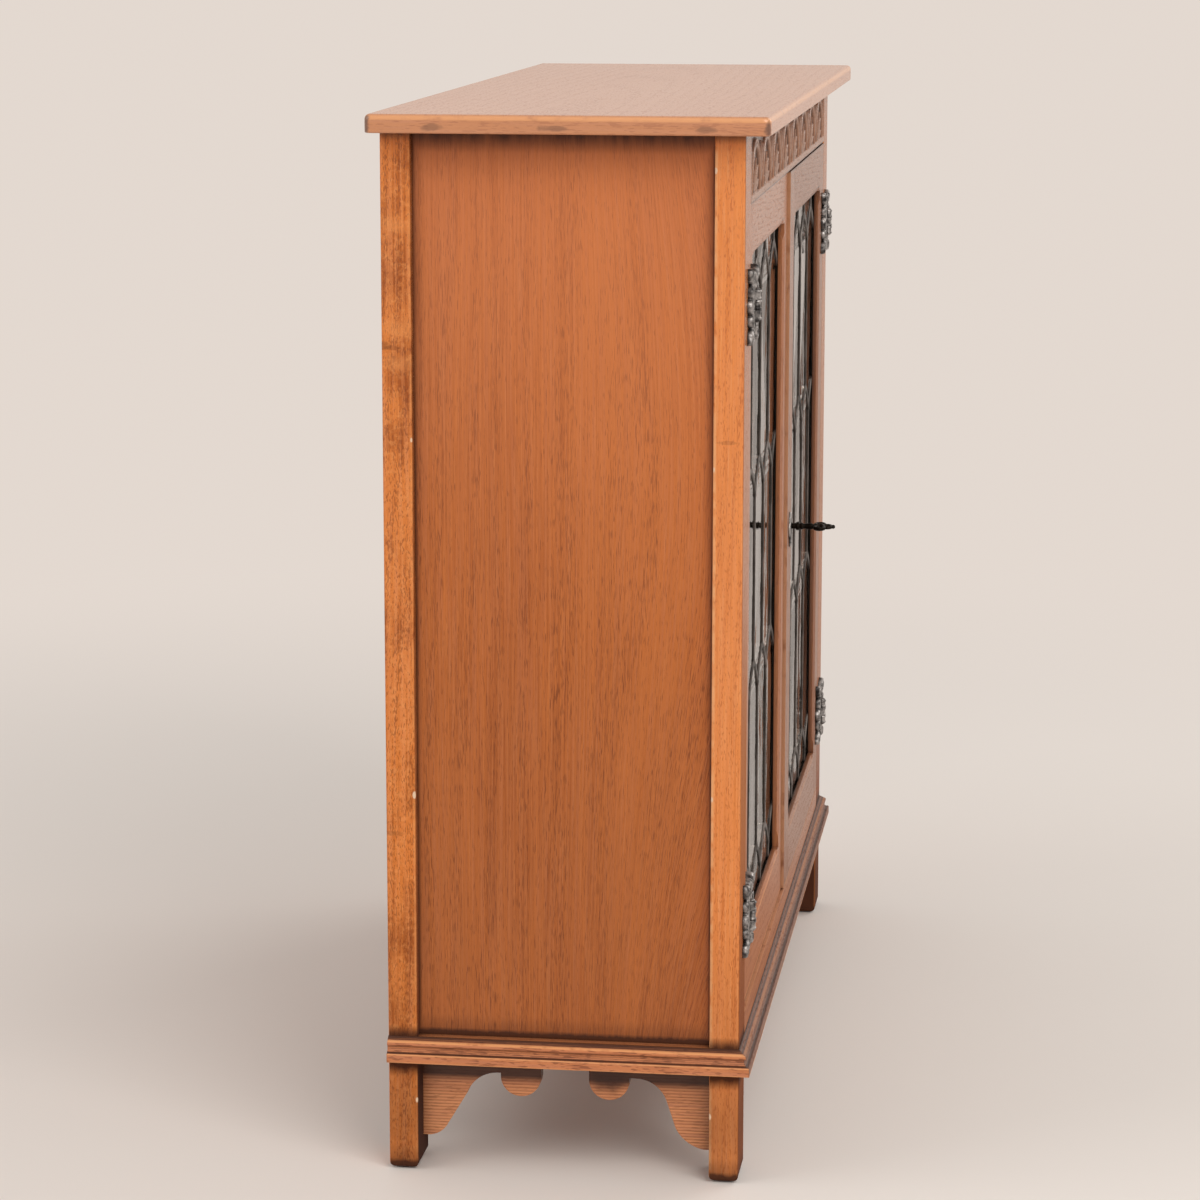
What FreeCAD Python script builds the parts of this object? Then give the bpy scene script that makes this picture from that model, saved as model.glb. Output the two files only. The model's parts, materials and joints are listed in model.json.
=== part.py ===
import FreeCAD, Part
import math
import os

V = FreeCAD.Vector

# Overall sizes in millimetres. X runs along the front from the middle of the cabinet,
# Y runs back from the front face of the posts, Z is up from the floor.
height = 930.0
width = 940.0                 # over the posts
depth = 310.0                 # over the posts
half = width / 2

# Top board
top_thick = 16.0
top_front, top_back, top_side = 23.0, 8.0, 28.0      # overhangs
top_corner, top_round, top_ease = 6.0, 4.5, 1.5
top_under = height - top_thick

# Posts, which run down to the floor as feet
post_w, post_d = 50.0, 26.0
post_ease, foot_round = 2.0, 7.0
opening = half - post_w       # from the middle to a post's inner face

# Side and back panels in grooves
side_set, side_thick, tongue = 10.0, 10.0, 8.0
back_set, back_thick = 9.0, 5.0
back_rail_under = top_under - 60.0
inner_side = half - side_set - side_thick

# Base: rails behind a planted moulding, and shaped aprons
base_under, mould_top = 100.5, 122.5
mould_out, fascia = 10.0, 7.4
rail_thick = 20.0
bottom_top = 142.0
bottom_thick = 20.0
side_rail_thick = 25.0
side_rail_top = bottom_top - bottom_thick
apron_thick = 14.0
pendant_r, pendant_z, pendant_off, gap_z = 18.0, 81.2, 39.4, 96.0
pendant_back = 1.5           # the side aprons' pendants sit this far behind the middle

# A bracket's lower edge as distance from the post and height: a flat foot, a knee, a slope and a scroll
bracket_flat = ((0.0, 21.0), (7.0, 21.0))
bracket_knee = ((20.0, 26.3), (32.0, 40.0))          # middle and end of an arc
slim_flat = ((0.0, 24.0), (6.0, 24.0))               # the same two, where a bracket is cut slimmer
slim_knee = ((15.0, 27.0), (22.5, 35.2))
bracket_slope = (40.0, 64.5)
bracket_scroll = ((48.5, 77.0), (67.0, 84.0))        # middle and end of an arc
scroll_z = bracket_scroll[1][1]

# Frieze rail with its carved row of round arches
frieze_under, field_under, field_top = 852.5, 857.5, 910.0
field_deep, field_margin = 3.0, 4.0
arch_count, arch_out, arch_band, arch_stilt = 8, 42.0, 8.0, 5.5
arch_proud, bud_r = 2.4, 16.0

# Tenons and battens
tenon_len, tenon_thick, tenon_shoulder = 12.0, 8.0, 6.0
batten, batten_ease = 18.0, 2.0
batten_screw_r, batten_screw_len, batten_screw_step, batten_head_h = 2.0, 28.0, 100.0, 1.5

# Shelves
shelf_thick, shelf_front, shelf_gap, shelf_nose = 16.0, 46.0, 1.0, 2.0
shelf_levels = (399.5, 583.5)       # undersides
pin_r, pin_in, pin_out, pin_ease = 3.0, 6.0, 10.0, 0.05
pin_front, pin_back = 30.0, 40.0     # from the shelf's front and from the back posts

# Doors: each is a rebated frame round a leaded light
door_under, door_top, door_thick = 143.5, 850.5, 20.0
hinge_gap, meet_gap, meet_line = 1.0, 2.0, -10.0
stile_w, rail_top_h, rail_bottom_h = 47.0, 46.0, 50.5
left_meet_w, right_meet_w = 30.0, 50.0
left_set, right_set = 3.0, 0.0       # how far each door's face stands behind the posts
lip, rebate = 6.0, 8.0
door_tenon, door_tenon_thick, tenon_trim = 22.0, 6.0, 8.0
chamfer, chamfer_deep, chamfer_stop, chamfer_run = 5.0, 2.0, 10.0, 6.0
stop_w, stop_deep, stop_down, stop_up, stop_play = 60.0, 14.0, 9.0, 24.0, 0.3
sight_under = door_under + rail_bottom_h
sight_top = door_top - rail_top_h
door_mid = (door_under + door_top) / 2

# Leaded lights: four columns of long pointed quarries in staggered tiers
came_w, came_web, flange_thick, glass_thick = 6.0, 1.4, 1.3, 3.0
cover, columns, tier_h, arm_rise, arm_bulge = 6.0, 4, 184.0, 14.0, 4.0
pane_play, bead_play = 0.1, 0.2

# Surface hinges
hinge_low, hinge_high = 86.5, 83.5     # from the door's foot and from its head
knuckle_r, knuckle_out, barrel_h, middle_h = 4.1, 5.6, 25.6, 8.6
leaf_thick, leaf_root, knuckle_play = 4.0, 5.0, 0.3
pin_radius, pin_run, finial_r, finial_in = 2.0, 0.05, 3.2, 1.2
screw_r, screw_head_r, screw_head_h, screw_len, screw_play = 1.3, 2.8, 1.4, 14.0, 0.05

# A leaf's screws, lobes and piercings as distance from the pin, height from its middle (and radius)
leaf_screw_at = ((11.5, 22.0), (11.5, -22.0), (22.5, 0.0))
leaf_lobes = ((11.5, 22.0, 7.8), (20.8, 25.4, 5.6), (20.0, 11.8, 5.6), (24.0, 29.0, 3.6), (8.2, 15.6, 4.4))
leaf_tip, leaf_arm, leaf_plate = (22.5, 0.0, 6.8), (10.5, 22.5, 4.4), 17.0
leaf_piercings = ((20.8, 25.4, 2.0), (16.8, 18.2, 1.7))

# Lock, key and the bolts
key_x = meet_line + meet_gap / 2 + right_meet_w / 2
lock_up = 6.5
key_z = door_mid + lock_up
shaft_r, shaft_hole_r, key_tip, key_tilt = 2.75, 3.4, -45.0, -5.0
bow_long, bow_wide, bow_thick = 22.0, 26.0, 4.0
collar_r, collar_y, collar_w = 4.0, -9.0, 3.5
case_w, case_h, case_deep, case_wall = 38.0, 50.0, 12.0, 1.5
bit_h, bit_w, bit_len, bit_play = 8.0, 3.0, 6.0, 2.0
bolt_up, bolt_high, bolt_long, bolt_thick, bolt_in, bolt_play = 9.0, 12.0, 26.0, 4.6, 5.0, 0.3
keeper_w, keeper_h, keeper_wall = 15.0, 26.0, 3.0
plate_h, plate_w, plate_thick, plate_drop = 33.0, 22.0, 2.0, 3.5
plate_lobes = ((7.0, 6.0), (2.2, 3.0))               # distance from the plate's end and radius
rod_w, rod_len, rod_drop, rod_in, rod_off = 6.0, 52.0, 3.0, 2.5, 11.0
guide_at, guide_w, guide_h, guide_deep = (2.0, 36.0), 14.0, 8.0, 12.0
back_plate_w, back_plate_thick, knob_r, knob_len, knob_up = 18.0, 2.0, 3.0, 9.0, 18.0
block_w, block_h, block_wall, block_play = 20.0, 16.0, 4.0, 0.6

# The model is centred front to back on its whole reach, from the key's end to the top's rear edge
shift = V(0, -(depth + top_back + key_tip) / 2, 0)


def box(x0, x1, y0, y1, z0, z1):
    return Part.makeBox(x1 - x0, y1 - y0, z1 - z0, V(x0, y0, z0))


def mirrored(shape):
    return shape.mirror(V(0, 0, 0), V(1, 0, 0))


def rod(r, length, at, along):
    return Part.makeCylinder(r, length, at, along)


def outline(parts):
    """A closed wire from points, with a middle point in a tuple where a stretch is an arc."""
    edges = []
    last = parts[0]
    for item in parts[1:]:
        if isinstance(item, tuple):
            edges.append(Part.Arc(last, item[0], item[1]).toShape())
            last = item[1]
        else:
            edges.append(Part.LineSegment(last, item).toShape())
            last = item
    if last.distanceToPoint(parts[0]) > 1e-6:
        edges.append(Part.LineSegment(last, parts[0]).toShape())
    return Part.Wire(edges)


def prism(parts, along):
    return Part.Face(outline(parts)).extrude(along)


def save(name, shapes):
    """Write one node: a single solid, or a group of separate ones."""
    solids = shapes if isinstance(shapes, list) else [shapes]
    whole = solids[0] if len(solids) == 1 else Part.makeCompound(solids)
    whole = whole.translated(shift)
    whole.exportStep("parts/%s.step" % name)
    bad = [s for s in whole.Solids if not s.isValid() or s.Volume <= 0]
    print(name, len(whole.Solids), "solids", round(whole.Volume / 1000, 2), "cm3", "BAD" if bad else "")


def top_board():
    board = box(-half - top_side, half + top_side, -top_front, depth + top_back, top_under, height)
    upright = [e for e in board.Edges if abs(e.tangentAt(e.FirstParameter).z) > 0.99]
    board = board.makeFillet(top_corner, upright)
    rim = [e for e in board.Edges if e.BoundBox.ZMin > height - 0.01]
    board = board.makeFillet(top_round, rim)
    rim = [e for e in board.Edges if e.BoundBox.ZMax < top_under + 0.01]
    return board.makeFillet(top_ease, rim).cut(batten_bores())


def rounded_foot(length, along):
    """A tall outline with its two lower corners rounded, as seen square to one face of a post."""
    r = foot_round
    s = r * (1 - math.sqrt(0.5))
    points = [V(0, 0, r), (V(s, 0, s), V(r, 0, 0)), V(length - r, 0, 0),
              (V(length - s, 0, s), V(length, 0, r)), V(length, 0, top_under), V(0, 0, top_under)]
    if along == "x":
        return prism(points, V(0, post_d, 0))
    turned = [tuple(V(0, q.x, q.z) for q in p) if isinstance(p, tuple) else V(0, p.x, p.z) for p in points]
    return prism(turned, V(post_w, 0, 0))


def post_blank():
    """A post with its outer corner at the origin: eased edges and a rounded foot."""
    plan = box(0, post_w, 0, post_d, 0, top_under)
    upright = [e for e in plan.Edges if abs(e.tangentAt(e.FirstParameter).z) > 0.99]
    plan = plan.makeFillet(post_ease, upright)
    return plan.common(rounded_foot(post_w, "x")).common(rounded_foot(post_d, "y"))


def tenon_ends(y_mid, z0, z1):
    """Left-hand tenon of a front or back rail from z0 to z1, which also cuts its mortise."""
    t = tenon_thick / 2
    return box(-opening - tenon_len, -opening, y_mid - t, y_mid + t, z0 + tenon_shoulder, z1 - tenon_shoulder)


def front_post_left():
    post = post_blank().translated(V(-half, 0, 0))
    cuts = [side_panel_left(), tenon_ends(rail_thick / 2, frieze_under, top_under),
            tenon_ends(rail_thick / 2, base_under, bottom_top)]
    for level in hinge_levels():
        cuts += [screw_bore(x, z, 0.0) for x, z in leaf_screws(-1, -opening + hinge_gap / 2, level)]
    return post.cut(cuts)


def back_post_left():
    post = post_blank().translated(V(-half, depth - post_d, 0))
    y_mid = depth - rail_thick / 2 - (post_d - rail_thick)
    return post.cut([side_panel_left(), back_panel(), tenon_ends(y_mid, back_rail_under, top_under),
                     tenon_ends(y_mid, base_under, bottom_top)])


def side_panel_left():
    """A plain board between the posts, with a tongue into each post's groove."""
    x0 = -half + side_set
    panel = box(x0, x0 + side_thick, post_d, depth - post_d, side_rail_top, top_under)
    t0 = x0 + side_thick / 4
    edge = box(t0, t0 + side_thick / 2, post_d - tongue, depth - post_d + tongue, side_rail_top, top_under)
    holes = [rod(pin_r, pin_in, V(-inner_side, y, z), V(-1, 0, 0)) for y, z in pin_places()]
    return panel.fuse(edge).removeSplitter().cut(holes)


def side_rail_left():
    return box(-half, -half + side_rail_thick, post_d, depth - post_d, base_under, side_rail_top)


def back_panel():
    y1 = depth - back_set
    reach = opening + tongue
    return box(-reach, reach, y1 - back_thick, y1, bottom_top - tongue, back_rail_under + tongue)


def back_rail(z0, z1):
    """A rail between the back posts, with a tenon at each end."""
    y1 = depth - (post_d - rail_thick)
    rail = box(-opening, opening, y1 - rail_thick, y1, z0, z1)
    end = tenon_ends(y1 - rail_thick / 2, z0, z1)
    return rail.fuse([end, mirrored(end)]).removeSplitter()


def bottom_board():
    board = box(-inner_side, inner_side, rail_thick, depth - post_d, side_rail_top, bottom_top)
    notch = box(-half, -opening, 0, post_d, 0, height)
    return board.cut([notch, mirrored(notch)])


def front_rail(z0, z1):
    rail = box(-opening, opening, 0, rail_thick, z0, z1)
    end = tenon_ends(rail_thick / 2, z0, z1)
    return rail.fuse([end, mirrored(end)]).removeSplitter()


def arch_ring(x, z, outer, inner, y0, y1):
    """A half ring on short legs, standing on the lower edge of the carved field."""
    foot = field_under
    points = [V(x - outer, y0, foot), V(x - outer, y0, z), (V(x, y0, z + outer), V(x + outer, y0, z)),
              V(x + outer, y0, foot), V(x + inner, y0, foot), V(x + inner, y0, z),
              (V(x, y0, z + inner), V(x - inner, y0, z)), V(x - inner, y0, foot)]
    return prism(points, V(0, y1 - y0, 0))


def frieze_rail():
    """The top front rail: a sunk field with raised round arches and a bud under each."""
    rail = front_rail(frieze_under, top_under)
    reach = opening - field_margin
    rail = rail.cut(box(-reach, reach, 0, field_deep, field_under, field_top))
    pitch = 2 * reach / arch_count
    face = field_deep - arch_proud
    spring = field_under + arch_stilt
    raised = []
    for i in range(arch_count):
        x = -reach + (i + 0.5) * pitch
        raised.append(arch_ring(x, spring, arch_out, arch_out - arch_band, face, field_deep))
        tip, end = V(x, face, field_under + bud_r * 1.6), V(x + bud_r, face, field_under)
        bud = [V(x - bud_r, face, field_under), (tip, end)]
        raised.append(prism(bud, V(0, arch_proud, 0)))
    return rail.fuse(raised).removeSplitter()


def mould_profile():
    """Section of the base moulding as (projection, height): fascia, cove, bead and sloped top."""
    f = base_under + fascia
    o = mould_out
    return [(0, base_under), (o, base_under), (o, f), (o - 0.8, f + 0.8), (o - 1.8, f + 0.8),
            ((o - 4.2, f + 2.6), (o - 4.8, f + 6)), (o - 4.8, f + 6.4),
            ((o - 3.1, f + 8.6), (o - 4.8, f + 10.8)), (o - 5.8, f + 11.6), (0, mould_top)]


def mould_run(place, along):
    """Extrude the section, with each (projection, height) pair put in place by the given function."""
    points = [tuple(place(*q) for q in p) if isinstance(p[0], tuple) else place(*p) for p in mould_profile()]
    return prism(points, along)


def base_mould_left():
    run = mould_run(lambda o, z: V(-half - o, depth, z), V(0, -depth - mould_out, 0))
    far = 4 * mould_out
    mitre = prism([V(-half, 0, 0), V(-half - far, -far, 0), V(-half + far, -far, 0)], V(0, 0, height))
    return run.cut(mitre)


def base_mould_front():
    reach = half + mould_out
    run = mould_run(lambda o, z: V(-reach, -o, z), V(2 * reach, 0, 0))
    far = 4 * mould_out
    mitre = prism([V(-half, 0, 0), V(-half - far, -far, 0), V(-half - far, far, 0)], V(0, 0, height))
    return run.cut([mitre, mirrored(mitre)])


def bracket_edge(start, along, flat=bracket_flat, knee=bracket_knee):
    """Lower edge of an apron from a post to the start of a pendant: a double curve."""
    def at(point):
        return start + along * point[0], point[1]

    return [at(flat[0]), at(flat[1]), tuple(map(at, knee)), at(bracket_slope), tuple(map(at, bracket_scroll))]


def apron_shape(start, end, centres, top, end_cut):
    """Lower edge with a bracket at each end, half-round pendants between, then straight across the top."""
    path = bracket_edge(start, 1)
    for c in centres:
        path += [(c - pendant_r, gap_z if c != centres[0] else scroll_z), (c - pendant_r, pendant_z),
                 ((c, pendant_z - pendant_r), (c + pendant_r, pendant_z)),
                 (c + pendant_r, gap_z if c != centres[-1] else scroll_z)]
    back = bracket_edge(end, -1, *end_cut)
    turned = [back[4][1], (back[4][0], back[3]), back[2][1], (back[2][0], back[1]), back[0]]
    return path + turned + [(end, top), (start, top)]


def apron(start, end, centres, top, place, along, end_cut=(bracket_flat, bracket_knee)):
    points = []
    for p in apron_shape(start, end, centres, top, end_cut):
        points.append(tuple(place(*q) for q in p) if isinstance(p[0], tuple) else place(*p))
    return prism(points, along)


def apron_left():
    x0 = -half + side_rail_thick
    mid = depth / 2 + pendant_back
    return apron(post_d, depth - post_d, (mid - pendant_off, mid + pendant_off), side_rail_top,
                 lambda y, z: V(x0, y, z), V(apron_thick, 0, 0), (slim_flat, slim_knee))


def apron_front():
    return apron(-opening, opening, (-pendant_off, pendant_off), side_rail_top,
                 lambda x, z: V(x, rail_thick, z), V(0, apron_thick, 0))


def batten_screw_places():
    x, z = -inner_side + batten / 2, top_under - batten
    return [V(x, depth / 2 + k * batten_screw_step, z) for k in (-1, 0, 1)]


def batten_bores():
    r = batten_screw_r + screw_play
    left = [rod(r, batten_screw_len + 1, at, V(0, 0, 1)) for at in batten_screw_places()]
    return left + [mirrored(b) for b in left]


def batten_screws():
    """Screws up through the battens into the top board."""
    screws = []
    for at in batten_screw_places():
        shank = rod(batten_screw_r, batten_screw_len, at, V(0, 0, 1))
        head = rod(2 * batten_screw_r, batten_head_h, at - V(0, 0, batten_head_h), V(0, 0, 1))
        screws.append(shank.fuse(head).removeSplitter())
    return screws + [mirrored(s) for s in screws]


def top_batten_left():
    y0, y1 = post_d + batten_ease, depth - post_d - batten_ease
    bar = box(-inner_side, -inner_side + batten, y0, y1, top_under - batten, top_under)
    return bar.cut(batten_bores())


def glue_blocks():
    """Square blocks in the corners under the bottom board."""
    x0 = -half + side_rail_thick + apron_thick
    y0 = rail_thick + apron_thick
    blocks = []
    for x in (x0, -x0 - batten):
        blocks.append(box(x, x + batten, y0, y0 + batten, base_under, side_rail_top))
        blocks.append(box(x, x + batten, depth - post_d - batten, depth - post_d, base_under, side_rail_top))
    return blocks


def pin_places():
    ys = (shelf_front + pin_front, depth - post_d - pin_back)
    return [(y, level - pin_r) for level in shelf_levels for y in ys]


def shelf_pins():
    x = -inner_side - pin_in
    left = [rod(pin_r - pin_ease, pin_in + pin_out, V(x, y, z), V(1, 0, 0)) for y, z in pin_places()]
    return left + [mirrored(p) for p in left]


def shelf(level):
    reach = inner_side - shelf_gap
    board = box(-reach, reach, shelf_front, depth - post_d - shelf_gap, level + pin_ease, level + shelf_thick)
    nose = [e for e in board.Edges if e.BoundBox.YMax < shelf_front + 1 and e.BoundBox.XLength > reach]
    return board.makeFillet(shelf_nose, nose)


def door_stop(x0, door_back):
    """A block behind the frieze rail that reaches down behind a door's top edge."""
    x1, y0 = x0 + stop_w, rail_thick
    block = box(x0, x1, y0, y0 + stop_deep, door_top - stop_down, frieze_under + stop_up)
    return block.cut(box(x0 - 1, x1 + 1, y0 - 1, door_back + stop_play, 0, frieze_under))


def stopped_chamfer(start, end, u, v):
    """Cutter for a chamfer that dies away before both ends of an edge; u and v point into the two faces."""
    run = (end - start).normalize()
    rise = run * chamfer_run
    size = ((start, 0.02), (start + rise, chamfer), (end - rise, chamfer), (end, 0.02))
    sections = []
    for at, c in size:
        corner = at - (u + v) * 0.01
        deep = c * chamfer_deep / chamfer
        sections.append(Part.makePolygon([corner, corner + u * c, corner + v * deep, corner]))
    return Part.makeLoft(sections, True, True)


def frame_stile(outer, inner, y0):
    """Upright of a door frame; the rebate for the glass runs up its inner back edge."""
    s = 1 if outer > inner else -1
    x0, x1 = min(outer, inner), max(outer, inner)
    stile = box(x0, x1, y0, y0 + door_thick, door_under, door_top)
    r0, r1 = sorted((inner, inner + s * rebate))
    cuts = [box(r0, r1, y0 + lip, y0 + door_thick, door_under, door_top)]
    t0, t1 = sorted((inner, inner + s * door_tenon))
    for z0, z1 in tenon_bands():
        cuts.append(box(t0, t1, y0 + lip + 1, y0 + lip + 1 + door_tenon_thick, z0, z1))
    low, high = sight_under + chamfer_stop, sight_top - chamfer_stop
    cuts.append(stopped_chamfer(V(inner, y0, low), V(inner, y0, high), V(s, 0, 0), V(0, 1, 0)))
    return stile.cut(cuts)


def tenon_bands():
    """Lower and upper heights of the tenons on a door's bottom and top rails."""
    low = (door_under + tenon_trim, sight_under - rebate - 2)
    return low, (sight_top + rebate + 2, door_top - tenon_trim)


def frame_rail(x0, x1, z_outer, z_inner, y0, band):
    """Cross piece of a door frame between the stiles, with tenons and its own rebate."""
    s = 1 if z_outer > z_inner else -1
    front = box(x0, x1, y0, y0 + lip, min(z_outer, z_inner), max(z_outer, z_inner))
    b0, b1 = sorted((z_outer, z_inner + s * rebate))
    back = box(x0 - rebate, x1 + rebate, y0 + lip, y0 + door_thick, b0, b1)
    y_t = y0 + lip + 1
    tenon = box(x0 - door_tenon, x1 + door_tenon, y_t, y_t + door_tenon_thick, band[0], band[1])
    rail = front.fuse([back, tenon]).removeSplitter()
    return rail.cut(stopped_chamfer(V(x0 + chamfer_stop, y0, z_inner), V(x1 - chamfer_stop, y0, z_inner),
                                    V(0, 0, s), V(0, 1, 0)))


def arm(p, q):
    """A curved came between two tiers, bowed upwards like one side of a pointed arch."""
    chord = q - p
    up = V(-chord.z, 0, chord.x)
    up = up if up.z > 0 else up * -1
    middle = (p + q) * 0.5 + up.normalize() * arm_bulge
    return Part.Arc(p, middle, q).toShape()


def quarry(x0, x1, low, high, y):
    """One long pane: upright sides and a pointed end above and below."""
    mid = (x0 + x1) / 2
    foot, crown = V(mid, y, low - arm_rise), V(mid, y, high + arm_rise)
    a, b = V(x0, y, low + arm_rise), V(x1, y, low + arm_rise)
    c, d = V(x1, y, high - arm_rise), V(x0, y, high - arm_rise)
    line = Part.LineSegment
    edges = [arm(foot, b), line(b, c).toShape(), arm(c, crown), arm(crown, d), line(d, a).toShape(),
             arm(a, foot)]
    return Part.Face(Part.Wire(edges))


def quarries(x0, x1, z0, z1, y):
    """Every pane's outline, clipped to the panel: whole columns in two tiers, staggered in the rest."""
    sheet = Part.Face(outline([V(x0, y, z0), V(x1, y, z0), V(x1, y, z1), V(x0, y, z1)]))
    pitch = (x1 - x0) / columns
    mid = (z0 + z1) / 2
    levels = [mid + (k - 2.5) * tier_h for k in range(6)]
    cells = []
    for tier in range(5):
        staggered = tier % 2 == 0
        first = -0.5 if staggered else 0.0
        for k in range(columns + (1 if staggered else 0)):
            left = x0 + (first + k) * pitch
            cells.append(quarry(left, left + pitch, levels[tier], levels[tier + 1], y).common(sheet).Faces[0])
    return sheet, cells


def shrunk(face, by):
    return face.OuterWire.makeOffset2D(-by, 2)


def pierced(sheet, cells, by, thick):
    """The panel with an opening for every pane, smaller all round than the pane's cell by this much."""
    holes = [shrunk(c, by) for c in cells]
    return Part.makeFace([sheet.OuterWire] + holes, "Part::FaceMakerBullseye").extrude(V(0, thick, 0))


def leaded_light(x0, x1, y0):
    """The lead net and its panes, for a sight opening from x0 to x1 in a door whose face is at y0."""
    y = y0 + lip + pane_play
    sheet, cells = quarries(x0 - cover, x1 + cover, sight_under - cover, sight_top + cover, y)
    front = pierced(sheet, cells, came_w / 2, flange_thick)
    web = pierced(sheet, cells, came_web / 2, glass_thick).translated(V(0, flange_thick, 0))
    back = front.translated(V(0, flange_thick + glass_thick, 0))
    net = front.fuse([web, back]).removeSplitter()
    panes = []
    for c in cells:
        pane = Part.Face(shrunk(c, came_web / 2 + pane_play)).extrude(V(0, glass_thick - 2 * pane_play, 0))
        panes.append(pane.translated(V(0, flange_thick + pane_play, 0)))
    return net, panes


def glazing_beads(x0, x1, y0):
    """Four square beads behind the light, inside the rebate."""
    front = y0 + lip + pane_play + 2 * flange_thick + glass_thick + bead_play
    back = y0 + door_thick
    g = bead_play
    xa, xb = x0 - rebate + g, x1 + rebate - g
    za, zb = sight_under - rebate + g, sight_top + rebate - g
    w = rebate - g
    return [box(xa, xa + w, front, back, za, zb), box(xb - w, xb, front, back, za, zb),
            box(xa + w, xb - w, front, back, za, za + w), box(xa + w, xb - w, front, back, zb - w, zb)]


def hinge_levels():
    return (door_under + hinge_low, door_top - hinge_high)


def hinge_axis(side):
    return side * (opening - hinge_gap / 2)


def leaf_screws(s, axis_x, level):
    """Screw places of one leaf, which lies towards s from the hinge axis."""
    return [(axis_x + s * u, level + w) for u, w in leaf_screw_at]


def screw_bore(x, z, seat):
    """Hole through a leaf and into the wood, whose face is at seat."""
    return rod(screw_r + screw_play, screw_len + seat, V(x, -leaf_thick, z), V(0, 1, 0))


def screw(x, z, seat):
    """A round-headed screw on a leaf's face, a little shorter than its hole."""
    head = Part.makeSphere(screw_head_r, V(x, screw_head_r - screw_head_h - leaf_thick, z))
    head = head.common(box(x - 9, x + 9, -9, -leaf_thick, z - 9, z + 9))
    shank = rod(screw_r, screw_len + seat - 1, V(x, -leaf_thick, z), V(0, 1, 0))
    return head.fuse(shank).removeSplitter()


def hinge_leaf(s, axis_x, level, seat, knuckles):
    """A cast leaf of lobes and scrolls; seat is the wood's face, knuckles the heights of its barrels."""
    face = -leaf_thick
    thick = seat - face

    def disc(u, w, r):
        return rod(r, thick, V(axis_x + s * u, face, level + w), V(0, 1, 0))

    def plate(u0, u1, w0, w1):
        xs = sorted((axis_x + s * u0, axis_x + s * u1))
        return box(xs[0], xs[1], face, seat, level + w0, level + w1)

    leaf = plate(leaf_root, leaf_plate, -barrel_h / 2, barrel_h / 2)
    lobes = [disc(*leaf_tip), plate(leaf_arm[0], leaf_arm[1], -leaf_arm[2], leaf_arm[2])]
    for up in (1, -1):
        lobes += [disc(u, up * w, r) for u, w, r in leaf_lobes]
    leaf = leaf.fuse(lobes)
    for w0, w1 in knuckles:
        barrel = rod(knuckle_r, w1 - w0, V(axis_x, -knuckle_out, level + w0), V(0, 0, 1))
        xs = sorted((axis_x, axis_x + s * (leaf_root + 1)))
        root = box(xs[0], xs[1], face, -knuckle_play, level + w0, level + w1)
        leaf = leaf.fuse([barrel, root])
    low = V(axis_x, -knuckle_out, level - barrel_h / 2 - 2)
    bores = [rod(pin_radius + pin_run, barrel_h + 4, low, V(0, 0, 1))]
    for up in (1, -1):
        bores += [disc(u, up * w, r) for u, w, r in leaf_piercings]
    bores += [screw_bore(x, z, seat) for x, z in leaf_screws(s, axis_x, level)]
    return leaf.removeSplitter().cut(bores)


def post_leaf(side, level):
    m, b = middle_h / 2 + knuckle_play, barrel_h / 2
    return hinge_leaf(side, hinge_axis(side), level, 0.0, ((-b, -m), (m, b)))


def door_leaf(side, level, seat):
    m = middle_h / 2
    return hinge_leaf(-side, hinge_axis(side), level, seat, ((-m, m),))


def hinge_pin(side, level):
    reach = barrel_h / 2
    at = V(hinge_axis(side), -knuckle_out, level - reach)
    pin = rod(pin_radius, barrel_h, at, V(0, 0, 1))
    ends = []
    for up in (1, -1):
        ball = Part.makeSphere(finial_r, V(at.x, at.y, level + up * (reach - finial_in)))
        ends.append(ball.cut(box(at.x - 9, at.x + 9, at.y - 9, at.y + 9, level - reach, level + reach)))
    return pin.fuse(ends).removeSplitter()


def escutcheon():
    """A waisted plate round the keyhole."""
    def disc(r, z):
        return rod(r, plate_thick, V(key_x, right_set - plate_thick, z), V(0, 1, 0))

    middle = key_z - plate_drop
    plate = disc(plate_w / 2, middle)
    for up in (1, -1):
        plate = plate.fuse([disc(r, middle + up * (plate_h / 2 - inset)) for inset, r in plate_lobes])
    return plate.removeSplitter().cut(disc(shaft_hole_r, key_z))


def key():
    """A shaft with a collar, a bit inside the lock and a pierced trefoil bow lying flat."""
    back = right_set + door_thick + case_deep - case_wall - 1
    neck = key_tip + bow_long - 3
    shaft = rod(shaft_r, back - neck, V(key_x, neck, key_z), V(0, 1, 0))
    collar = rod(collar_r, collar_w, V(key_x, collar_y, key_z), V(0, 1, 0))
    bit_y = right_set + door_thick + case_wall + bit_play
    bit = box(key_x - bit_w / 2, key_x + bit_w / 2, bit_y, bit_y + bit_len, key_z - bit_h, key_z)
    lobes = []
    r = bow_wide * 0.27
    for u, w in ((-r * 0.93, r * 1.05), (r * 0.93, r * 1.05), (0, bow_long - r)):
        at = V(key_x + u, key_tip + bow_long - w, key_z - bow_thick / 2)
        lobes.append(rod(r, bow_thick, at, V(0, 0, 1)).cut(rod(r * 0.5, bow_thick, at, V(0, 0, 1))))
    whole = shaft.fuse([collar, bit] + lobes).removeSplitter()
    return whole.rotated(V(key_x, 0, key_z), V(0, 1, 0), key_tilt)


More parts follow.
